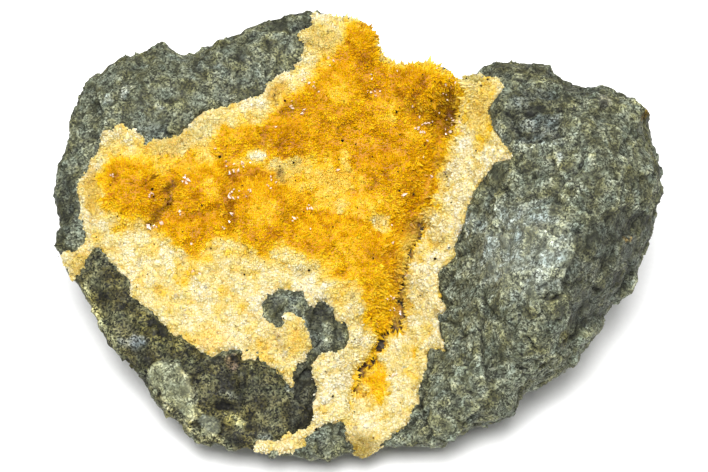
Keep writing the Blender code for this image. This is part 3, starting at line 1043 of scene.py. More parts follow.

# Brown marks in the valleys and along the crevice; in the crevice it is partly painted shade
BROWN_MARKS = (
    Mark(Oval(447, 113, 15, 30), 0.45),
    Mark(Oval(452, 98, 6, 11), 0.68),
    Mark(Oval(450, 117, 8, 14, 15), 0.84),
    Mark(Oval(447, 133, 6, 6), 0.60),
    Mark(Oval(415, 107, 18, 9), 0.34),
    Mark(Oval(430, 122, 14, 10), 0.40),
    Mark(Oval(438, 158, 9, 9), 0.45),
    Mark(Oval(446, 175, 6, 8), 0.30),
    Mark(Oval(413, 226, 9, 15), 0.28),
    Mark(Line(((434, 165), (432, 195), (424, 215)), 2.0), 0.35),
    Mark(Line(((172, 184), (168, 192), (170, 200), (165, 207), (158, 213), (152, 226)), 3.6), 0.75),
    Mark(Oval(157, 176, 5, 4), 0.7),
    Mark(Oval(230, 212, 6, 20), 0.30),
    Mark(Oval(232, 173, 10, 6), 0.30),
    Mark(Oval(281, 170, 4, 8), 0.50),
    Mark(Oval(292, 108, 14, 9), 0.35),
    Mark(Oval(220, 156, 5, 5), 0.40),
    Mark(Line(((276, 322), (280, 334), (282, 346), (287, 360)), 2.4), 0.35),
    Mark(Oval(340, 128, 5, 6), 0.35),
    # The crevice is browned nearly fully: partly its colour, partly painted shade in the crack
    Mark(CREVICE, 0.95),
)
BROWN = "#4A2006"


@dataclass(frozen=True)
class CalciteShades:
    """How the calcite's tint and brown vary over the crust.

    Widths are in metres, and a range is where something starts and where it is full. The other
    numbers are shares of the way from cream to amber-brown, or of the way to brown. Grooves are
    what lies between the round clusters that the crystals stand in. The tint is deeper and browner
    in the grooves and in the valleys between domes: this is painted shade.
    """

    cluster_widths: tuple[float, float, float] = (3.4 * MM, 1.7 * MM, 5.5 * MM)
    cluster_shift: float = 2.0
    wanders: tuple[Wander, Wander] = (Wander(3.2 * MM, 4.0, 6), Wander(1.1 * MM, 9.0, 4))
    cream: float = 0.12
    golden: tuple[float, float] = (0.4, 0.6)
    large_grooves: float = 0.55
    small_grooves: float = 0.45
    patches: Lumps = Lumps(3.0 * MM, 2.0)
    patch: tuple[float, float] = (0.0, 0.5)
    broad: Lumps = Lumps(6.5 * MM, 5.0)
    fine: Lumps = Lumps(2.2 * MM, 1.0)
    # Painted shade: the tint is deeper in the grooves, and for golden calcite paler on the crowns
    cream_groove: tuple[float, float] = (0.35, 0.85)
    cream_deeper: float = 0.10
    cream_patched: float = 0.16
    cream_broad: float = 0.14
    cream_lower: float = 0.04
    golden_deeper: float = 0.10
    golden_groove: float = 0.45
    golden_patched: float = 0.06
    golden_patch: float = 0.4
    golden_fine: float = 0.10

    # Painted shade, in brown, in the valleys between domes and in the creases of the grooves
    valley_foot: tuple[float, float] = (0.0, 0.8)
    valley_side: tuple[float, float] = (0.1, 0.9)
    valley_lumps: Lumps = Lumps(2.0 * MM, 3.0)
    valley_even: float = 0.6
    valley_lumpy: float = 0.6
    valley_shade: float = 0.22
    creases: Lumps = Lumps(6.0 * MM, 7.0)
    creased: tuple[float, float] = (-0.2, 0.4)
    golden_crease: tuple[float, float] = (0.6, 0.95)
    golden_crease_shade: float = 0.30
    cream_crease: tuple[float, float] = (0.55, 0.95)
    cream_crease_shade: float = 0.10
    seen: tuple[float, float] = (-0.1, 0.2)


SHADES = CalciteShades()


class CalciteColour:
    """Tint and brownness of the calcite at a set of places, with painted shade in its valleys and grooves.

    It is read once for the crust, and its crystals then vary it each in its own way.
    """

    def __init__(self, points: np.ndarray, facing: np.ndarray) -> None:
        """Reads tint and brownness from the marks.

        Args:
            points: places on the crust, one row each.
            facing: how squarely each faces the eye.
        """
        self.clusters = [
            knobby(points, width, SHADES.cluster_shift + index)
            for index, width in enumerate(SHADES.cluster_widths)]
        self.places = SHEET.read(points)
        for wander in SHADES.wanders:
            wander.bend(self.places, points)
        drawn = blended(TINT_MARKS, self.places, np.full(len(points), SHADES.cream))
        golden = eased(drawn, *SHADES.golden)
        large, small = 1 - self.clusters[0], 1 - self.clusters[1]
        groove = SHADES.large_grooves * large + SHADES.small_grooves * small
        self.tint = self.varied(points, drawn, golden, groove)
        self.brown_and_shade = self.browned_and_shaded(points, golden, groove) * eased(facing, *SHADES.seen)

    @staticmethod
    def varied(points: np.ndarray, drawn: np.ndarray, golden: np.ndarray, groove: np.ndarray) -> np.ndarray:
        """Varies the drawn tint from patch to patch, and deepens it in grooves as painted shade.

        Args:
            points: places on the crust, one row each.
            drawn: the drawn tint.
            golden: 1 where it is golden, to 0 where it is cream.
            groove: 1 in the grooves between clusters, to 0 on their crowns.

        Returns:
            The tint in each place.
        """
        patch = eased(SHADES.patches.at(points), *SHADES.patch)
        # Painted shade: deeper in the grooves between clusters, and for golden calcite paler on their crowns
        tint = drawn + (1 - golden) * (
            SHADES.cream_deeper * eased(groove, *SHADES.cream_groove) + SHADES.cream_patched * patch
            + SHADES.cream_broad * SHADES.broad.at(points) - SHADES.cream_lower)
        tint += golden * (
            SHADES.golden_deeper * (groove - SHADES.golden_groove)
            + SHADES.golden_patched * (patch - SHADES.golden_patch))
        return tint + SHADES.golden_fine * golden * SHADES.fine.at(points)

    def browned_and_shaded(self, points: np.ndarray, golden: np.ndarray, groove: np.ndarray) -> np.ndarray:
        """Works out the drawn brown marks and the painted shade of the valleys between domes and of grooves.

        Args:
            points: places on the crust, one row each.
            golden: 1 where the tint is golden, to 0 where it is cream.
            groove: 1 in the grooves between clusters, to 0 on their crowns.

        Returns:
            The brown and painted shade in each place.
        """
        # Painted shade, in brown, where two domes meet and in the grooves between clusters
        heights = np.sort([dome.height(self.places) for dome in DOMES], axis=0)
        valley = 1 - eased(heights[-1] - heights[-2], *SHADES.valley_foot)
        valley = valley * eased(heights[-2], *SHADES.valley_side)
        share = SHADES.valley_even + SHADES.valley_lumpy * SHADES.valley_lumps.at(points)
        valley = np.clip(valley * golden * share, 0, 1)
        creased = golden * eased(groove, *SHADES.golden_crease)
        creased = creased * eased(SHADES.creases.at(points), *SHADES.creased)
        pale = SHADES.cream_crease_shade * (1 - golden) * eased(groove, *SHADES.cream_crease)
        creased = np.maximum(SHADES.golden_crease_shade * creased, pale)
        return blended(BROWN_MARKS, self.places, np.maximum(SHADES.valley_shade * valley, creased))

    def chosen(self, which: np.ndarray) -> "CalciteColour":
        """Keeps only some of the places.

        Args:
            which: the rows to keep.

        Returns:
            The same colours in those places.
        """
        part = copy.copy(self)
        part.clusters = [share[which] for share in self.clusters]
        part.places, part.tint, part.brown_and_shade = self.places[which], self.tint[which], self.brown_and_shade[which]
        return part

    def mixed(
        self, tint_shift: np.ndarray | float = 0.0, brown_shift: np.ndarray | float = 0.0,
    ) -> np.ndarray:
        """Mixes the linear colour of each place.

        Args:
            tint_shift: how much deeper the tint is.
            brown_shift: how much browner it is.

        Returns:
            Red, green and blue, one row for each place.
        """
        tint = np.clip(self.tint + tint_shift, 0, 1)
        rows = linear_rows(TINT_COLOURS)
        colour = np.stack([np.interp(tint, TINT_STOPS, rows[:, i]) for i in range(3)], axis=1)
        colour = blended(CALCITE_STAINS, self.places, colour)
        brown_and_shade = np.clip(self.brown_and_shade + brown_shift, 0, 1)[:, None]
        return colour + brown_and_shade * (linear_rows([BROWN]) - colour)


SLAB = Area((
    (96, 250), (110, 263), (127, 279), (130, 293), (143, 305), (158, 318), (169, 334), (187, 341),
    (199, 352), (212, 357), (236, 350), (258, 361), (294, 389), (312, 400), (318, 420), (308, 432),
    (281, 439), (257, 441), (255, 455), (228, 449), (208, 443), (190, 432), (170, 416), (152, 399),
    (141, 378), (128, 360), (109, 346), (101, 330), (92, 310), (80, 291), (72, 281), (83, 264),
), soft=3.0)
FLAKE = Area((
    (151, 364), (158, 362), (172, 363), (177, 360), (184, 371), (190, 378), (192, 390), (194, 400),
    (199, 414), (189, 418), (184, 413), (175, 407), (165, 399), (155, 387), (146, 373)), soft=1.2)
SMALL_FLAKE = Area((
    (200, 416), (210, 415), (218, 422), (221, 430), (218, 437), (211, 439), (204, 433), (199, 424)), soft=1.2)
COLUMN = Area(((293, 364), (306, 362), (315, 372), (317, 395), (312, 415), (309, 432), (290, 432),
               (284, 410), (294, 392)), soft=3.0)
SCOOP = Area(((514, 92), (535, 84), (556, 92), (562, 112), (561, 138), (548, 143), (530, 150),
              (518, 142), (508, 120)), soft=4.0)
# The right lobe's lower right facet, sunk and painted darker as painted shade
DARK_FACET = Area((
    (600, 222), (572, 231), (576, 240), (575, 258), (561, 280), (571, 312), (568, 326), (575, 331),
    (600, 324), (630, 290), (645, 250), (650, 215), (630, 205)), soft=4.0)

BASALT_BASE = "#A2A38E"
BASALT_MARKS = (
    # Painted shade on the top of the right lobe, which turns from the light
    Mark(Oval(580, 92, 26, 12), "#6C6F66", 0.8),
    Mark(SCOOP, "#8C8F89", 0.85),
    Mark(Oval(155, 90, 42, 30), "#8C8D76", 0.6),
    # Painted shade along the right lobe's upper rim
    Mark(Line(((498, 68), (520, 66), (545, 72), (564, 84)), 8.0), "#787660", 0.8),
    # Painted light on the right lobe's front, which faces the light
    Mark(Oval(525, 250, 66, 62), "#D9DED8", 0.8),
    # Painted shade on the lower right facet, which turns from the light
    Mark(DARK_FACET, "#7E8073", 0.9),
    Mark(Line(((528, 152), (545, 143), (561, 140)), 5.0), "#D6DAD2", 0.7),
    Mark(Oval(558, 158, 5, 11), "#D8DCDA", 0.85),
    Mark(Oval(604, 101, 8, 7), "#F4F0E8", 0.85),
    # A painted highlight on the right lobe's front
    Mark(Oval(471, 224, 10, 14, 15), "#F0F8F6", 0.9),
    Mark(Oval(541, 225, 6, 8), "#E2E2DA", 0.7),
    Mark(Oval(645, 115, 4, 6), "#B08E2C", 0.9),
    Mark(Oval(627, 240, 3, 5), "#B08833", 0.6),
    Mark(Oval(565, 338, 12, 8), "#94863F", 0.6),
    # Painted shade on the left edge, which turns from the light
    Mark(Oval(65, 205, 14, 50), "#6B6E61", 0.9),
    Mark(Oval(205, 66, 22, 10, -10), "#868A82", 0.7),
    Mark(Oval(214, 44, 18, 9, -25), "#8A8558", 0.7),
    Mark(Oval(124, 89, 7, 11), "#ECF0EA", 0.8),
    Mark(Oval(107, 100, 4, 5), "#F2F6F0", 0.8),
    Mark(Oval(160, 107, 12, 4, 15), "#ECF0EA", 0.8),
    Mark(Oval(243, 57, 7, 6), "#E2E6E0", 0.8),
    Mark(Oval(155, 130, 18, 9), "#A9AFAC", 0.6),
    Mark(Oval(303, 25, 16, 6), "#3E4038", 0.7),
    Mark(SLAB, "#847D58", 0.95),
    Mark(Oval(160, 336, 46, 14, 38), "#857C46", 0.8),
    Mark(Oval(135, 342, 19, 10), "#B4B7BC", 0.8),
    Mark(Oval(142, 357, 18, 7, 30), "#55544A", 0.7),
    Mark(Oval(250, 392, 34, 20, 20), "#5A5640", 0.75),
    Mark(Oval(225, 384, 13, 24), "#2C2B24", 0.85),
    Mark(Oval(226, 406, 17, 8), "#1F1E18", 0.9),
    Mark(Oval(233, 440, 15, 8), "#2C2B24", 0.8),
    Mark(Oval(217, 360, 11, 7), "#33322A", 0.8),
    Mark(Oval(230, 394, 16, 6), "#A2A294", 0.6),
    Mark(Oval(234, 362, 11, 12), "#A88E80", 0.85),
    Mark(Oval(235, 420, 13, 7, 15), "#E6DFAE", 0.9),
    Mark(Oval(263, 435, 11, 7), "#C6C8C0", 0.7),
    Mark(COLUMN, "#5A5746", 0.95),
    Mark(Oval(290, 386, 7, 6), "#B4B6B0", 0.6),
    Mark(FLAKE, "#BDBDA0", 0.95),
    Mark(Line(((146, 373), (155, 392), (170, 408), (184, 417)), 2.2), "#FFF6C8", 0.85),
    Mark(Line(((184, 371), (192, 390), (199, 413), (190, 418)), 2.2), "#FFF8D4", 0.85),
    Mark(SMALL_FLAKE, "#9C9F94", 0.95),
    Mark(Line(((158, 372), (166, 380), (172, 391), (183, 398)), 1.4), "#77785F", 0.8),
    Mark(Oval(320, 449, 36, 13), "#8A8B78", 0.7),
    Mark(Oval(322, 330, 28, 38), "#74756A", 0.8),
    Mark(Oval(272, 305, 12, 14), "#6E7066", 0.8),
    Mark(Oval(294, 301, 11, 10), "#9CA49E", 0.7),
    Mark(Oval(328, 336, 10, 17), "#FAFAE0", 0.9),
    # The rock along the crevice is painted dark brown: partly its colour, partly painted shade
    Mark(Line(CREVICE.corners, 9.0), "#4A2A0E"),
    Mark(Line(((84, 288), (93, 305), (102, 323), (116, 347)), 4.0), "#F4ECB8"),
    Mark(Line(((174, 412), (188, 423), (202, 434), (224, 443)), 3.0), "#F0E8BC", 0.9),
)
CONTRAST_MARKS = (
    Mark(SLAB, 1.0), Mark(SCOOP, 0.95), Mark(FLAKE, 0.65), Mark(SMALL_FLAKE, 0.6), Mark(DARK_FACET, 0.8),
    Mark(Oval(525, 250, 62, 58), 0.72),
)

# Where the rock broke smoother, as the share of its relief that is gone
CALM_MARKS = (
    Mark(SLAB, 0.40), Mark(SCOOP, 0.10), Mark(DARK_FACET, 0.30), Mark(FLAKE, 0.6), Mark(SMALL_FLAKE, 0.6),
    Mark(Oval(580, 92, 26, 12), 0.3), Mark(Oval(190, 85, 120, 60, -20), 0.40),
    Mark(Oval(66, 200, 22, 60), 0.25),
)

# Rises and hollows of the rock, in millimetres
RELIEF_MARKS = (
    Mark(SCOOP, -1.0), Mark(DARK_FACET, -0.9), Mark(FLAKE, 0.9), Mark(SMALL_FLAKE, 0.8),
    Mark(Line(((528, 153), (545, 144), (563, 141), (580, 128)), 4.0), 0.8),
    Mark(Line(((385, 437), (398, 432), (412, 425), (418, 412), (420, 400)), 2.2), -1.0),
    Mark(Line(((343, 426), (340, 432), (346, 440), (352, 448)), 2.2), -1.4),
    Mark(Line(((184, 371), (192, 390), (199, 413)), 1.6), -0.7),
    Mark(Oval(535, 176, 4, 5), -1.2), Mark(Oval(572, 195, 6, 7), -1.2), Mark(Oval(504, 192, 7, 7), -0.9),
    Mark(Oval(557, 83, 4, 4), -0.9), Mark(Oval(600, 293, 4, 5), -0.9), Mark(Oval(222, 406, 16, 7), -0.8),
)


@dataclass(frozen=True)
class BasaltSizes:
    """Sizes of the basalt block's surface, in metres.

    Its skin is made of squares of one side where nothing shows, half that on the open rock, and
    a quarter on the side where the hollow is. Chips are the flat faces of the break and knobs its
    rounder roughness, each with its width and its height. Crests and humps, which stand out of
    their narrower and wider surroundings, are painted paler as painted light, and what lies
    deeper is painted darker as painted shade.
    """

    voxel: float = 1.72 * MM
    form_voxel: float = 0.70 * MM
    refined_from: tuple[float, float] = (-2.0, 0.0)
    seat_fill: float = 0.5 * MM
    sunk: float = 2.0 * MM
    sinking_passes: int = 2
    smoothing: int = 8
    chips: tuple[tuple[float, float], ...] = (
        (13 * MM, 1.0 * MM), (5.5 * MM, 0.80 * MM), (2.4 * MM, 0.42 * MM))
    chip_shift: float = 3.0
    knobs: tuple[tuple[float, float], ...] = ((3.6 * MM, 0.34 * MM), (1.5 * MM, 0.13 * MM))
    knob_shift: float = 5.0
    grit: Lumps = Lumps(0.8 * MM, 8.0)
    grit_rise: float = 0.13 * MM
    relief_wander: Wander = Wander(2.0 * MM, 4.0, 4)
    relief_seen: tuple[float, float] = (0.0, 0.3)
    # Painted light on crests and humps, and painted shade where the relief lies deeper
    crest_passes: int = 8
    relief_shade: float = 0.10
    crest_shade_rise: float = 0.20 * MM
    hump_passes: int = 45
    humped: float = 0.30
    hump_rise: float = 0.50 * MM
    stain_wander: Wander = Wander(2.4 * MM, 4.0, 6)
    stain_seen: tuple[float, float] = (-0.05, 0.15)
    shade_limits: tuple[float, float] = (0.25, 2.0)
    contrast: float = 0.85


class BasaltBlock:
    """The broken block of basalt that the crust grew in."""

    def __init__(self, size: BasaltSizes) -> None:
        """Takes its sizes."""
        self.size = size

    def build(self, crust_skin: bpy.types.Mesh) -> bpy.types.Object:
        """Builds the block, with its surface let in under the crust.

        Args:
            crust_skin: the crust's form, as one even skin.

        Returns:
            The finished piece.
        """
        size = self.size
        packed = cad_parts["basalt_matrix"].data
        grown = Surface(crust_skin.copy())
        grown.push(np.full(len(grown.points), size.seat_fill))
        grown.write()
        form = Surface(remeshed("basalt_form", [packed, grown.mesh], size.form_voxel))
        form.smooth(size.smoothing, self.grounded(form))
        form.write()
        mesh = remeshed("basalt_block", [packed, grown.mesh], size.voxel)
        rock, crust = tree_of(packed), tree_of(crust_skin)
        for least in size.refined_from:
            middles, normals = face_places(mesh)
            open_rock = (self.under_crust(middles, rock, crust) < 0.5) & (middles[:, 2] > 0.5 * size.voxel)
            refined(mesh, open_rock & (SHEET.facing(middles, normals) > least))
        skin = Surface(mesh)
        ground = self.grounded(skin) > 0.5
        skin.snap(tree_of(form.mesh))
        under = self.under_crust(skin.points, rock, crust)
        for _ in range(size.sinking_passes):
            under = 0.5 * (under + skin.averaged(under))
        relief = self.relief(skin) * (1 - under)
        # Painted light and shade from the relief: paler where it stands out, darker where it lies deeper
        crests = skin.standing_out(relief, size.crest_passes) / size.crest_shade_rise
        humps = skin.standing_out(relief, size.hump_passes) / size.hump_rise
        self.dress(skin, size.relief_shade * crests + size.humped * humps)
        skin.push(relief - size.sunk * under)
        skin.points[:, 2] = np.where(ground, 0.0, np.maximum(skin.points[:, 2], 0.0))
        skin.write()
        for spare in (grown.mesh, form.mesh):
            bpy.data.meshes.remove(spare)
        return piece_from("basalt_block", mesh, BasaltFinish().make(), smooth=True)

    def grounded(self, skin: Surface) -> np.ndarray:
        """1 on the flat underside and 0 elsewhere."""
        return (skin.points[:, 2] < 0.5 * self.size.form_voxel).astype(float)

    @staticmethod
    def under_crust(places: np.ndarray, rock: BVHTree, crust: BVHTree) -> np.ndarray:
        """Tells the rock that lies under the crust from the open rock.

        Args:
            places: places on the joined skin, one row each.
            rock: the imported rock.
            crust: the crust's form.

        Returns:
            1 where the crust is nearer, and 0 where the rock is.
        """
        under = np.zeros(len(places))
        for index, row in enumerate(places):
            place = Vector(row)
            under[index] = crust.find_nearest(place)[3] < rock.find_nearest(place)[3]
        return under

    def relief(self, skin: Surface) -> np.ndarray:
        """Works out the rock's broken relief: flat chips, knobs and grit, and its own single marks.

        Args:
            skin: the block's surface.

        Returns:
            How far each point rises, in metres.
        """
        size, points = self.size, skin.points
        total = np.zeros(len(points))
        for width, rise in size.chips:
            total += chipped(points, width, size.chip_shift) * rise
        for width, rise in size.knobs:
            total += (knobby(points, width, size.knob_shift) - 0.5) * rise
        grit = size.grit.at(points) * size.grit_rise
        places = SHEET.read(points)
        size.relief_wander.bend(places, points)
        single = np.zeros(len(points))
        for mark in RELIEF_MARKS:
            single += mark.shape.share(places) * mark.value * MM
        calm = 1 - blended(CALM_MARKS, places, np.zeros(len(points)))
        seen = eased(SHEET.facing(points, skin.normals()), *size.relief_seen)
        return total * calm + grit + single * seen

    def dress(self, skin: Surface, standing: np.ndarray) -> None:
        """Stores the rock's stains, painted light and shade, and its speckle's contrast for its finish.

        Args:
            skin: the block's surface.
            standing: how far each point stands out of its surroundings, as a share; it sets
            the painted light on what stands out and the painted shade on what lies deeper.
        """
        size = self.size
        places = SHEET.read(skin.points)
        seen = eased(SHEET.facing(skin.points, skin.normals()), *size.stain_seen)
        size.stain_wander.bend(places, skin.points)
        base = np.tile(linear_rows([BASALT_BASE]), (len(places), 1))
        # The stains, with the painted light and shade of the marks above
        stain_and_shade = blended(BASALT_MARKS, places, base)
        # Painted shade and light: the stains are darker where the relief lies deeper and paler on crests
        relief_shade = np.clip(1 + standing, *size.shade_limits)
        skin.keep("stain_and_shade", (base + seen[:, None] * (stain_and_shade - base)) * relief_shade[:, None])
        plain = np.full(len(places), size.contrast)
        contrast = blended(CONTRAST_MARKS, places, plain)
        skin.keep("contrast", plain + seen * (contrast - plain))


@dataclass(frozen=True)
class CrustSizes:
    """Sizes of the crust's surface, in metres.

    Its skin is made of squares of one side where nothing shows, and half that on its open face.
    Its crystals stand in round clusters, large and small, which are calmer where it is golden.
    The skin itself is a little deeper in colour than the crystals on it. Where it turns away
    from the eye, along its edge, it is painted dark olive grey as painted shade.
    """

    voxel: float = 1.0 * MM
    form_voxel: float = 0.45 * MM
    refined_from: float = -0.45
    smoothing: int = 8
    front: tuple[float, float] = (0.0, 0.35)
    sunk: float = 0.42 * MM
    side_growth: float = 0.12 * MM
    cluster_rises: tuple[float, float, float] = (0.80 * MM, 0.40 * MM, 0.90 * MM)
    golden: tuple[float, float] = (0.35, 0.6)
    calm: float = 0.55
    deeper: float = 0.03
    pale_depth: tuple[float, float, float] = (0.97, 0.92, 0.82)
    golden_depth: tuple[float, float, float] = (0.88, 0.76, 0.55)
    # Painted shade on the crust's sides, which turn from the eye: a dark olive grey and its share
    side_shade: str = "#8A8058"
    side_shade_share: float = 0.6
    crevice_depth: float = 1.0 * MM
    crevice_shade: float = 0.85


class CalciteCrust:
    """The crust that lines the hollow, as it shows between its crystals."""

    def __init__(self, size: CrustSizes) -> None:
        """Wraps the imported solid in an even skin.

        Args:
            size: the crust's sizes.
        """
        self.size = size
        self.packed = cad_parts["calcite_crust"].data
        self.form = Surface(remeshed("calcite_crust_form", [self.packed], size.form_voxel))
        self.form.smooth(size.smoothing)
        self.form.write()

    def build(self) -> bpy.types.Object:
        """Builds the crust.

        Returns:
            The finished piece.
        """
        size = self.size
        mesh = remeshed("calcite_crust_body", [self.packed], size.voxel)
        middles, normals = face_places(mesh)
        refined(mesh, SHEET.facing(middles, normals) > size.refined_from)
        skin = Surface(mesh)
        skin.snap(tree_of(self.form.mesh))
        skin.smooth(1)
        self.facing = SHEET.facing(skin.points, skin.normals())
        self.colour = CalciteColour(skin.points, self.facing)
        front = eased(self.facing, *size.front)
        golden = eased(self.colour.tint, *size.golden)
        amount = size.side_growth * (1 - front) - size.sunk * front
        calm = 1 - size.calm * golden
        for rise, share in zip(size.cluster_rises, self.colour.clusters):
            amount += (share - 0.5) * rise * calm
        gap = CREVICE.share(self.colour.places) * front
        skin.push(amount - size.crevice_depth * gap)
        depth = size.pale_depth + golden[:, None] * (np.array(size.golden_depth) - size.pale_depth)
        tone = self.colour.mixed(size.deeper) * depth
        # Painted shade: the crust's sides, which turn from the eye, are mixed toward a dark olive grey
        tone += size.side_shade_share * (1 - front)[:, None] * (linear_rows([size.side_shade]) - tone)
        tone *= 1 - size.crevice_shade * gap[:, None]
        skin.keep("tint", tone)
        skin.write()
        self.surface = skin
        return piece_from("calcite_crust_body", mesh, CrustFinish().make(), smooth=True)


class Habit(Enum):
    """How a crystal grew."""

    NEEDLE = "slim and upright, side by side, as the velvet of the orange domes"
    GRANULE = "short and tilted, as the sugar of the pale crust"
    DOGTOOTH = "large and steep, where there was room, on the skyline and by the crevice"
    SPLINTER = "broken low, along the crust's upper left edge"


@dataclass(frozen=True)
class Growth:
    """Sizes of one habit: width in metres, and shares of the width or of the length.

    Its zigzag is how far the corners of its girdle stand above and below the middle.
    """

    width: float
    spread: float
    slenderness: float
    lean: float
    buried: float
    crowding: float
    zigzag: float


GROWTHS = {
    Habit.NEEDLE: Growth(0.85 * MM, 0.25, 1.20, 0.20, 0.50, 1.0, 0.06),
    Habit.GRANULE: Growth(0.85 * MM, 0.35, 0.85, 0.42, 0.56, 1.0, 0.08),
    Habit.DOGTOOTH: Growth(1.00 * MM, 0.28, 1.45, 0.28, 0.42, 0.75, 0.05),
    Habit.SPLINTER: Growth(0.85 * MM, 0.30, 1.05, 0.45, 0.55, 1.0, 0.08),
}
DOGTOOTH_MARKS = (
    Mark(Line(((340, 20), (362, 24), (374, 37), (382, 54), (394, 67), (430, 65), (459, 83)), 10.0), 0.45),
    Mark(Line(((452, 100), (446, 138), (434, 165)), 14.0), 0.5),
    Mark(Line(((430, 200), (420, 225), (411, 262), (402, 300), (396, 324), (380, 343)), 9.0), 0.85),
    Mark(Line(((375, 357), (363, 368), (359, 392)), 6.0), 0.6),
)
SPLINTER_BAND = Line((
    (305, 30), (296, 68), (268, 84), (248, 96), (220, 101), (200, 110), (185, 124), (170, 135),
    (147, 134), (125, 122), (104, 134), (92, 160), (82, 190), (84, 225)), 9.0)

# Where single clear crystals catch the light, on the sheet
GLINT_PLACES = (
    (303, 84), (318, 88), (332, 62), (369, 91), (376, 95), (424, 126), (420, 132), (445, 89), (436, 66),
    (452, 82), (460, 129), (290, 107), (302, 113), (228, 165), (232, 196), (188, 180), (180, 211),
    (113, 176), (150, 190), (147, 225), (158, 228), (197, 275), (390, 299), (398, 317), (398, 375),
    (234, 170), (245, 166), (268, 182), (272, 179), (240, 196), (246, 192), (305, 208), (293, 222),
    (430, 124), (414, 128), (186, 182), (235, 193), (455, 120), (448, 132), (404, 275), (394, 308),
)


@dataclass
class Crystals:
    """A set of crystals as arrays, one row for each.

    Length takes in the part below the crust's surface, and buried is its share of the length.
    The seat is how far the girdle lies under the foot, as a share of the length.
    """

    feet: np.ndarray
    axes: np.ndarray
    width: np.ndarray
    length: np.ndarray
    buried: np.ndarray
    zigzag: np.ndarray
    tones: np.ndarray
    seat: float = 0.32

    SIDES = 6
    STEEP = 0.9
    FOOT_REACH = 0.1

    # The layout for baking: the margin in each square, the foot's height and the room over it
    MARGIN = 0.06
    FOOT_STRIP = 0.2
    STRIP_GAP = 0.05

    def chosen(self, which: np.ndarray) -> "Crystals":
        """Keeps only some of the crystals.

        Args:
            which: the rows to keep.

        Returns:
            The same arrays with those rows.
        """
        return Crystals(
            self.feet[which], self.axes[which], self.width[which], self.length[which],
            self.buried[which], self.zigzag[which], self.tones[which], self.seat)

    def mesh(self, name: str, chance: np.random.Generator) -> bpy.types.Mesh:
        """Makes one mesh of six-sided pointed crystals, each closed at its foot.

        Args:
            name: the mesh's name.
            chance: draws how each crystal is turned about its axis.

        Returns:
            The new mesh, with its tints, its reach from foot to tip and its layout for baking.
        """
        count, sides = len(self.feet), self.SIDES
        leaning = np.abs(self.axes[:, 2:3]) < self.STEEP
        helper = np.where(leaning, np.array([[0.0, 0.0, 1.0]]), np.array([[1.0, 0.0, 0.0]]))
        across = np.cross(self.axes, helper)
        across /= np.linalg.norm(across, axis=1)[:, None]
        aside = np.cross(self.axes, across)
        turns = chance.uniform(0, math.tau, count)[:, None] + np.arange(sides) * math.tau / sides
        step = self.zigzag[:, None] * (-1.0) ** np.arange(sides)
        rise = (step - self.seat) * self.length[:, None]
        half = self.width[:, None] / 2
        ring = (
            self.feet[:, None]
            + (np.cos(turns) * half)[:, :, None] * across[:, None]
            + (np.sin(turns) * half)[:, :, None] * aside[:, None]
            + rise[:, :, None] * self.axes[:, None]
        )
        tip = self.feet + self.axes * ((1 - self.buried) * self.length)[:, None]
        points = np.concatenate([ring, tip[:, None]], axis=1).reshape(-1, 3)
        each = np.arange(sides)
        sloping = np.stack([each, (each + 1) % sides, np.full(sides, sides)], axis=1).ravel()
        corners = np.concatenate([sloping, each[::-1]])
        starts = np.append(np.arange(sides) * 3, 3 * sides)
        firsts = np.arange(count)[:, None]
        mesh = mesh_of_faces(
            name, points, (corners + firsts * (sides + 1)).ravel(), (starts + firsts * len(corners)).ravel())
        skin = Surface(mesh)
        skin.keep("tint", np.repeat(self.tones, sides + 1, axis=0))
        reach = np.concatenate([np.clip(self.FOOT_REACH + step, 0, 1), np.ones((count, 1))], axis=1)
        skin.keep("reach", reach.ravel())
        self.lay_out(mesh, count)
        return mesh

    def lay_out(self, mesh: bpy.types.Mesh, count: int) -> None:
        """Gives each crystal its own square of the layout that its colours are baked to.

        Args:
            mesh: the crystals' mesh.
            count: how many there are.
        """
        sides, foot = self.SIDES, self.FOOT_STRIP + self.STRIP_GAP
        strip = []
        for side in range(sides):
            left, right = side / sides, (side + 1) / sides
            strip += [(left, foot), (right, foot), ((left + right) / 2, 1.0)]
        for side in reversed(range(sides)):
            turn = math.tau * side / sides
            strip.append((0.5 + 0.5 * math.cos(turn), self.FOOT_STRIP * (0.5 + 0.5 * math.sin(turn))))
        pattern = self.MARGIN + (1 - 2 * self.MARGIN) * np.array(strip)
        rows = math.ceil(math.sqrt(count))
        cells = np.stack([np.arange(count) % rows, np.arange(count) // rows], axis=1)
        layer = mesh.uv_layers.new(name="OFBake")
        layer.uv.foreach_set("vector", ((pattern[None] + cells[:, None]) / rows).astype(np.float32).ravel())


def mesh_of_faces(name: str, points: np.ndarray, corners: np.ndarray, starts: np.ndarray) -> bpy.types.Mesh:
    """Makes a mesh from arrays.

    Args:
        name: the mesh's name.
        points: its points, one row each.
        corners: the point at each face corner, face after face.
        starts: where each face starts in corners.

    Returns:
        The new mesh.
    """
    mesh = bpy.data.meshes.new(name)
    mesh.vertices.add(len(points))
    mesh.vertices.foreach_set("co", points.astype(np.float32).ravel())
    mesh.loops.add(len(corners))
    mesh.loops.foreach_set("vertex_index", corners.astype(np.int32))
    mesh.polygons.add(len(starts))
    mesh.polygons.foreach_set("loop_start", starts.astype(np.int32))
    mesh.update(calc_edges=True)
    mesh.validate()
    return mesh


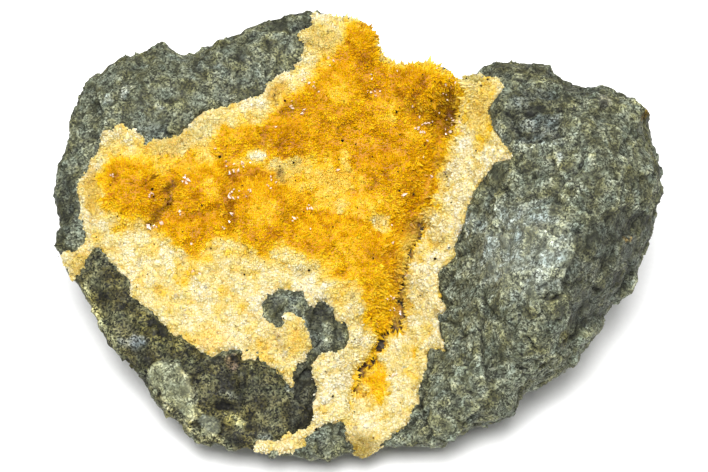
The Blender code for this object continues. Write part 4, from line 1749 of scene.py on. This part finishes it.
@dataclass(frozen=True)
class DruseSizes:
    """Sizes of the druse, in metres unless they are shares.

    One crystal starts in each cube, a gap wide, that the open crust passes through, if it has
    room above it. Near the rock the crystals fray outward and are slimmer. Each band is a
    stretch of the hollow, from one height on the sheet to another, and becomes one piece.
    """

    bands: tuple[tuple[str, float, float], ...] = (
        ("top_floor", 0, 120), ("upper_floor", 120, 165), ("middle_floor", 165, 210),
        ("lower_floor", 210, 262), ("inner_foot", 262, 330), ("outer_foot", 330, 480),
    )
    draws: int = 7
    gap: float = 0.46 * MM
    open_from: float = -0.35
    lift: float = 0.05 * MM
    headroom: float = 1.2 * MM
    scatter: float = 0.15 * MM
    bare: float = 0.55
    edge: tuple[float, float] = (0.3 * MM, 1.1 * MM)
    fray: float = 1.1
    edge_slimmer: float = 0.15
    length_spread: float = 0.18
    velvet: tuple[float, float] = (0.30, 0.55)

    flecks: float = 0.025
    fleck_brown: float = 0.4
    tint_spread: float = 0.03
    fluff: Lumps = Lumps(1.6 * MM, 6.0)
    fluff_paler: float = 0.10
    fluff_brighter: float = 0.08
    mottle: Lumps = Lumps(4.0 * MM, 3.0)
    mottled: float = 0.06
    brightness: tuple[float, float] = (0.94, 1.05)


@dataclass(frozen=True)
class LooseSizes:
    """Sizes of single crystals or grains that lie on the druse, in metres and shares.

    Its stretch is the least and the most that the length is of the width.
    """

    width: float
    spread: float
    stretch: tuple[float, float]
    upright: float
    lean: float
    lift: float
    seat: float
    colour: str
    buried: float = 0.5
    zigzag: float = 0.1


# Clear crystals that catch the light, in groups at their places and strays between them
GLINTS = LooseSizes(0.52 * MM, 0.25, (1.3, 2.6), 0.45, 0.7, 0.50 * MM, 0.1, "#FFEDE4")
GLINT_GROUP, GLINT_SPREAD, GLINT_STRAYS = 3, 2.4, 30
GLINT_GOLDEN, GLINT_LEAST = (0.45, 0.6), 0.25
GLINT_FINISH = CrystalFinish(
    "calcite_crystal_clear", roughness=0.10, specular=0.5, clearness=0.25, glow=0.3, foot="#F6E0C8")

# Dark ore grains
GRAINS = LooseSizes(0.29 * MM, 0.35, (1.2, 1.2), 0.0, 1.0, 0.60 * MM, 0.32, "#FFFFFF")
GRAIN_COUNT = 250


class CrystalDruse:
    """The small crystals that cover the crust."""

    def __init__(self, crust: CalciteCrust, rock: bpy.types.Object, size: DruseSizes) -> None:
        """Takes what the crystals grow on, and their sizes.

        Args:
            crust: the finished crust.
            rock: the finished block round it.
            size: the druse's sizes.
        """
        self.crust = crust
        self.rock = tree_of(rock.data)
        self.size = size
        self.chance = np.random.default_rng(size.draws)

    def build(self) -> list[bpy.types.Object]:
        """Grows the crystals.

        Returns:
            The finished pieces.
        """
        kept, outward, room = self.seeds()
        surface, colour = self.crust.surface, self.crust.colour.chosen(kept)
        normals = surface.normals()[kept]
        scatter = self.chance.uniform(-self.size.scatter, self.size.scatter, (len(kept), 3))
        feet = surface.points[kept] + scatter
        habits = self.chosen_habits(colour)
        crystals = self.grown(feet, normals, outward, room, colour, habits)
        crowded = np.array([GROWTHS[habit].crowding for habit in Habit])[habits]
        alive = (self.chance.random(len(feet)) < crowded) & (CREVICE.share(colour.places) < self.size.bare)
        down = SHEET.read(feet)[:, 1]
        material = CrystalFinish().make()
        pieces = []
        for name, low, high in self.size.bands:
            band = crystals.chosen(alive & (down >= low) & (down < high))
            mesh = band.mesh(f"crystals_{name}", self.chance)
            pieces.append(piece_from(mesh.name, mesh, material, smooth=False))
        pieces.append(self.glints(feet, normals, colour))
        pieces.append(self.ore_grains(feet, normals))
        return pieces

    def seeds(self) -> tuple[np.ndarray, np.ndarray, np.ndarray]:
        """Finds where crystals start on the crust's open face.

        Returns:
            The places in the surface's points, the way to the nearest rock and how far that is.
        """
        size, surface = self.size, self.crust.surface
        normals = surface.normals()
        kept, outward, room = [], [], []
        seen = self.chance.permutation(np.nonzero(self.crust.facing > size.open_from)[0])
        cells = np.floor(surface.points[seen] / size.gap).astype(int)
        for index in np.sort(seen[np.unique(cells, axis=0, return_index=True)[1]]):
            point, normal = Vector(surface.points[index]), Vector(normals[index])
            if self.rock.ray_cast(point + normal * size.lift, normal, size.headroom)[0] is None:
                near = self.rock.find_nearest(point)
                kept.append(index)
                outward.append((near[0] - point) / max(near[3], TINY))
                room.append(near[3])
        return np.array(kept), np.array(outward), np.array(room)

    def grown(
        self, feet: np.ndarray, normals: np.ndarray, outward: np.ndarray, room: np.ndarray,
        colour: CalciteColour, habits: np.ndarray,
    ) -> Crystals:
        """Draws each crystal's size, lean and tint.

        Args:
            feet: where each one leaves the crust.
            normals: the crust's normal there.
            outward: the way to the nearest rock.
            room: how far that rock is.
            colour: the calcite's colour there.
            habits: each one's habit, as its place in the list of habits.

        Returns:
            The crystals.
        """
        size, chance, count = self.size, self.chance, len(feet)
        growth = {name: np.array([getattr(GROWTHS[habit], name) for habit in Habit])[habits]
                  for name in Growth.__dataclass_fields__}
        edge = 1 - eased(room, *size.edge)
        fray = edge * chance.uniform(0, size.fray, count)
        axes = normals + chance.normal(0, 1, (count, 3)) * growth["lean"][:, None] + outward * fray[:, None]
        axes /= np.linalg.norm(axes, axis=1)[:, None]
        width = growth["width"] * np.exp(chance.normal(0, 1, count) * growth["spread"])
        width = width * (1 - size.edge_slimmer * edge)
        length = width * growth["slenderness"] * np.exp(chance.normal(0, size.length_spread, count))
        flecks = (chance.random(count) < size.flecks) * size.fleck_brown
        fluff = size.fluff.at(feet)
        tones = colour.mixed(chance.normal(0, size.tint_spread, count) - size.fluff_paler * fluff, flecks)
        mottle = 1 + size.fluff_brighter * fluff + size.mottled * size.mottle.at(feet)
        tones = np.clip(tones * mottle[:, None] * chance.uniform(*size.brightness, (count, 1)), 0, 1)
        return Crystals(feet, axes, width, length, growth["buried"], growth["zigzag"], tones)

    def chosen_habits(self, colour: CalciteColour) -> np.ndarray:
        """Chooses each crystal's habit.

        Args:
            colour: the calcite's colour at each crystal.

        Returns:
            Each one's habit, as its place in the list of habits.
        """
        count = len(colour.tint)
        order = list(Habit)
        velvet = eased(colour.tint, *self.size.velvet) > self.chance.random(count)
        found = np.where(velvet, order.index(Habit.NEEDLE), order.index(Habit.GRANULE))
        found[SPLINTER_BAND.share(colour.places) > self.chance.random(count)] = order.index(Habit.SPLINTER)
        toothed = blended(DOGTOOTH_MARKS, colour.places, np.zeros(count))
        found[toothed > self.chance.random(count)] = order.index(Habit.DOGTOOTH)
        return found

    def loose(
        self, name: str, size: LooseSizes, feet: np.ndarray, normals: np.ndarray,
        material: bpy.types.Material,
    ) -> bpy.types.Object:
        """Lays single crystals or grains on the druse, each its own way.

        Args:
            name: the piece's name.
            size: their sizes.
            feet: where each one lies, before it is lifted.
            normals: the crust's normal there.
            material: their finish.

        Returns:
            The finished piece.
        """
        count = len(feet)
        axes = size.upright * normals + self.chance.normal(0, size.lean, (count, 3))
        axes /= np.linalg.norm(axes, axis=1)[:, None]
        width = size.width * np.exp(self.chance.normal(0, size.spread, count))
        low, high = size.stretch
        stretch = low if low == high else self.chance.uniform(low, high, count)
        crystals = Crystals(
            feet + normals * size.lift, axes, width, width * stretch, np.full(count, size.buried),
            np.full(count, size.zigzag), np.tile(linear_rows([size.colour]), (count, 1)), seat=size.seat)
        return piece_from(name, crystals.mesh(name, self.chance), material, smooth=False)

    def glints(self, feet: np.ndarray, normals: np.ndarray, colour: CalciteColour) -> bpy.types.Object:
        """Adds the larger clear crystals that catch the light.

        Args:
            feet: where the other crystals leave the crust.
            normals: the crust's normal there.
            colour: the calcite's colour there.

        Returns:
            The finished piece.
        """
        likely = eased(colour.tint, *GLINT_GOLDEN) * (GLINT_LEAST + colour.brown_and_shade)
        strays = self.chance.choice(len(feet), GLINT_STRAYS, replace=False, p=likely / likely.sum())
        places = SHEET.read(feet)[:, :2]
        spots = np.repeat(np.array(GLINT_PLACES), GLINT_GROUP, axis=0)
        spots = spots + self.chance.normal(0, GLINT_SPREAD, spots.shape)
        named = [int(np.argmin(((places - spot) ** 2).sum(axis=1))) for spot in spots]
        picked = np.array(named + list(strays))
        return self.loose("crystals_clear", GLINTS, feet[picked], normals[picked], GLINT_FINISH.make())

    def ore_grains(self, feet: np.ndarray, normals: np.ndarray) -> bpy.types.Object:
        """Adds the dark grains that lie among the crystals, drawn from all the places."""
        picked = self.chance.choice(len(feet), GRAIN_COUNT, replace=False)
        return self.loose("ore_grains", GRAINS, feet[picked], normals[picked], GrainFinish().make())


@dataclass(frozen=True)
class Softbox:
    """A square soft light: its name, its middle, its side in metres and its power in watts."""

    name: str
    place: tuple[float, float, float]
    side: float
    power: float

    def build(self) -> None:
        """Adds the light, turned toward the stone."""
        light = bpy.data.lights.new(self.name, "AREA")
        light.shape = "RECTANGLE"
        light.size = light.size_y = self.side
        light.energy = self.power
        lamp = bpy.data.objects.new(self.name, light)
        lamp.location = self.place
        sight = Vector((0, 0, SHEET.height)) - Vector(self.place)
        lamp.rotation_euler = sight.to_track_quat("-Z", "Y").to_euler()
        bpy.context.scene.collection.objects.link(lamp)


@dataclass(frozen=True)
class Studio:
    """A plain pale floor under wide soft lights, and the camera at the eye.

    Its floor is matt white paper, which gives the eye an even pale ground with a faint grain.
    Real paper's grain is finer than one square, so it is drawn about a millimetre wide.
    Lengths are in metres, but the camera's sensor is in millimetres.
    """

    floor_side: float = 6.0
    paper: Stops = ((0.0, "#EFEFEF"), (1.0, "#F5F5F5"))
    paper_grain: float = MM / 0.9
    paper_roughness: float = 0.9
    lights: tuple[Softbox, ...] = (
        Softbox("overhead_softbox", (0.05, 0.02, 0.90), 1.4, 8.2),
        Softbox("key_softbox", (-0.04, -0.34, 0.87), 0.42, 12.5),
    )
    surround: float = 0.36
    sensor: float = 36.0
    clip: tuple[float, float] = (0.01, 20.0)

    def build(self) -> None:
        """Builds the floor, the lights, the world and the camera."""
        scene = bpy.context.scene
        scene.view_settings.view_transform = "Standard"
        scene.view_settings.look = "None"
        self.add_floor()
        for light in self.lights:
            light.build()
        self.add_world()
        self.add_camera()

    def add_floor(self) -> None:
        """Adds the floor, a seamless matt white sheet with a faint paper grain."""
        half = self.floor_side / 2
        mesh = bpy.data.meshes.new("floor")
        corners = [(-half, -half, 0), (half, -half, 0), (half, half, 0), (-half, half, 0)]
        mesh.from_pydata(corners, [], [(0, 1, 2, 3)])
        material, tree, shader = new_material("paper_matt_white")
        place = add_node(tree, "ShaderNodeTexCoord").outputs["Object"]
        grain = add_node(tree, "ShaderNodeTexNoise", {"Scale": 1 / self.paper_grain}, {"Vector": place})
        tone = add_node(tree, "ShaderNodeValToRGB", links={"Fac": grain.outputs["Fac"]}, stops=self.paper)
        fill(tree, shader, {"Roughness": self.paper_roughness}, {"Base Color": tone.outputs["Color"]})
        mesh.materials.append(material)
        floor = bpy.data.objects.new("floor", mesh)
        bpy.context.scene.collection.objects.link(floor)

    def add_world(self) -> None:
        """Adds an even white surround."""
        world = bpy.data.worlds.new("white_surround")
        world.use_nodes = True
        ground = world.node_tree.nodes["Background"]
        fill(world.node_tree, ground, {"Color": (1.0, 1.0, 1.0, 1.0), "Strength": self.surround})
        bpy.context.scene.world = world

    def add_camera(self) -> None:
        """Adds the camera at the eye, framed so that one square is one pixel."""
        data = bpy.data.cameras.new("camera")
        data.sensor_width = self.sensor
        data.lens = self.sensor * SHEET.eye_distance / (IMAGE_WIDTH * SHEET.square)
        data.clip_start, data.clip_end = self.clip
        camera = bpy.data.objects.new("camera", data)
        camera.location = SHEET.eye
        camera.rotation_euler = (math.pi / 2 - SHEET.elevation, 0, 0)
        bpy.context.scene.collection.objects.link(camera)
        bpy.context.scene.camera = camera


def attach(piece: bpy.types.Object, node: str) -> None:
    """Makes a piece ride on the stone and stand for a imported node, and reports it.

    Args:
        piece: the piece.
        node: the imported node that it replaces.
    """
    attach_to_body(piece, BODY)
    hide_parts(node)
    log.info("%s: %d faces", piece.name, len(piece.data.polygons))


def main() -> None:
    """Builds the stone and the studio round it."""
    logging.basicConfig(level=logging.INFO, format="%(message)s")
    noise.seed_set(NOISE_SEED)
    crust = CalciteCrust(CrustSizes())
    crust_piece = crust.build()
    rock = BasaltBlock(BasaltSizes()).build(crust.form.mesh)
    attach(rock, "basalt_matrix")
    attach(crust_piece, "calcite_crust")
    for piece in CrystalDruse(crust, rock, DruseSizes()).build():
        attach(piece, "calcite_crust")
    Studio().build()


if __name__ == "__main__":
    main()
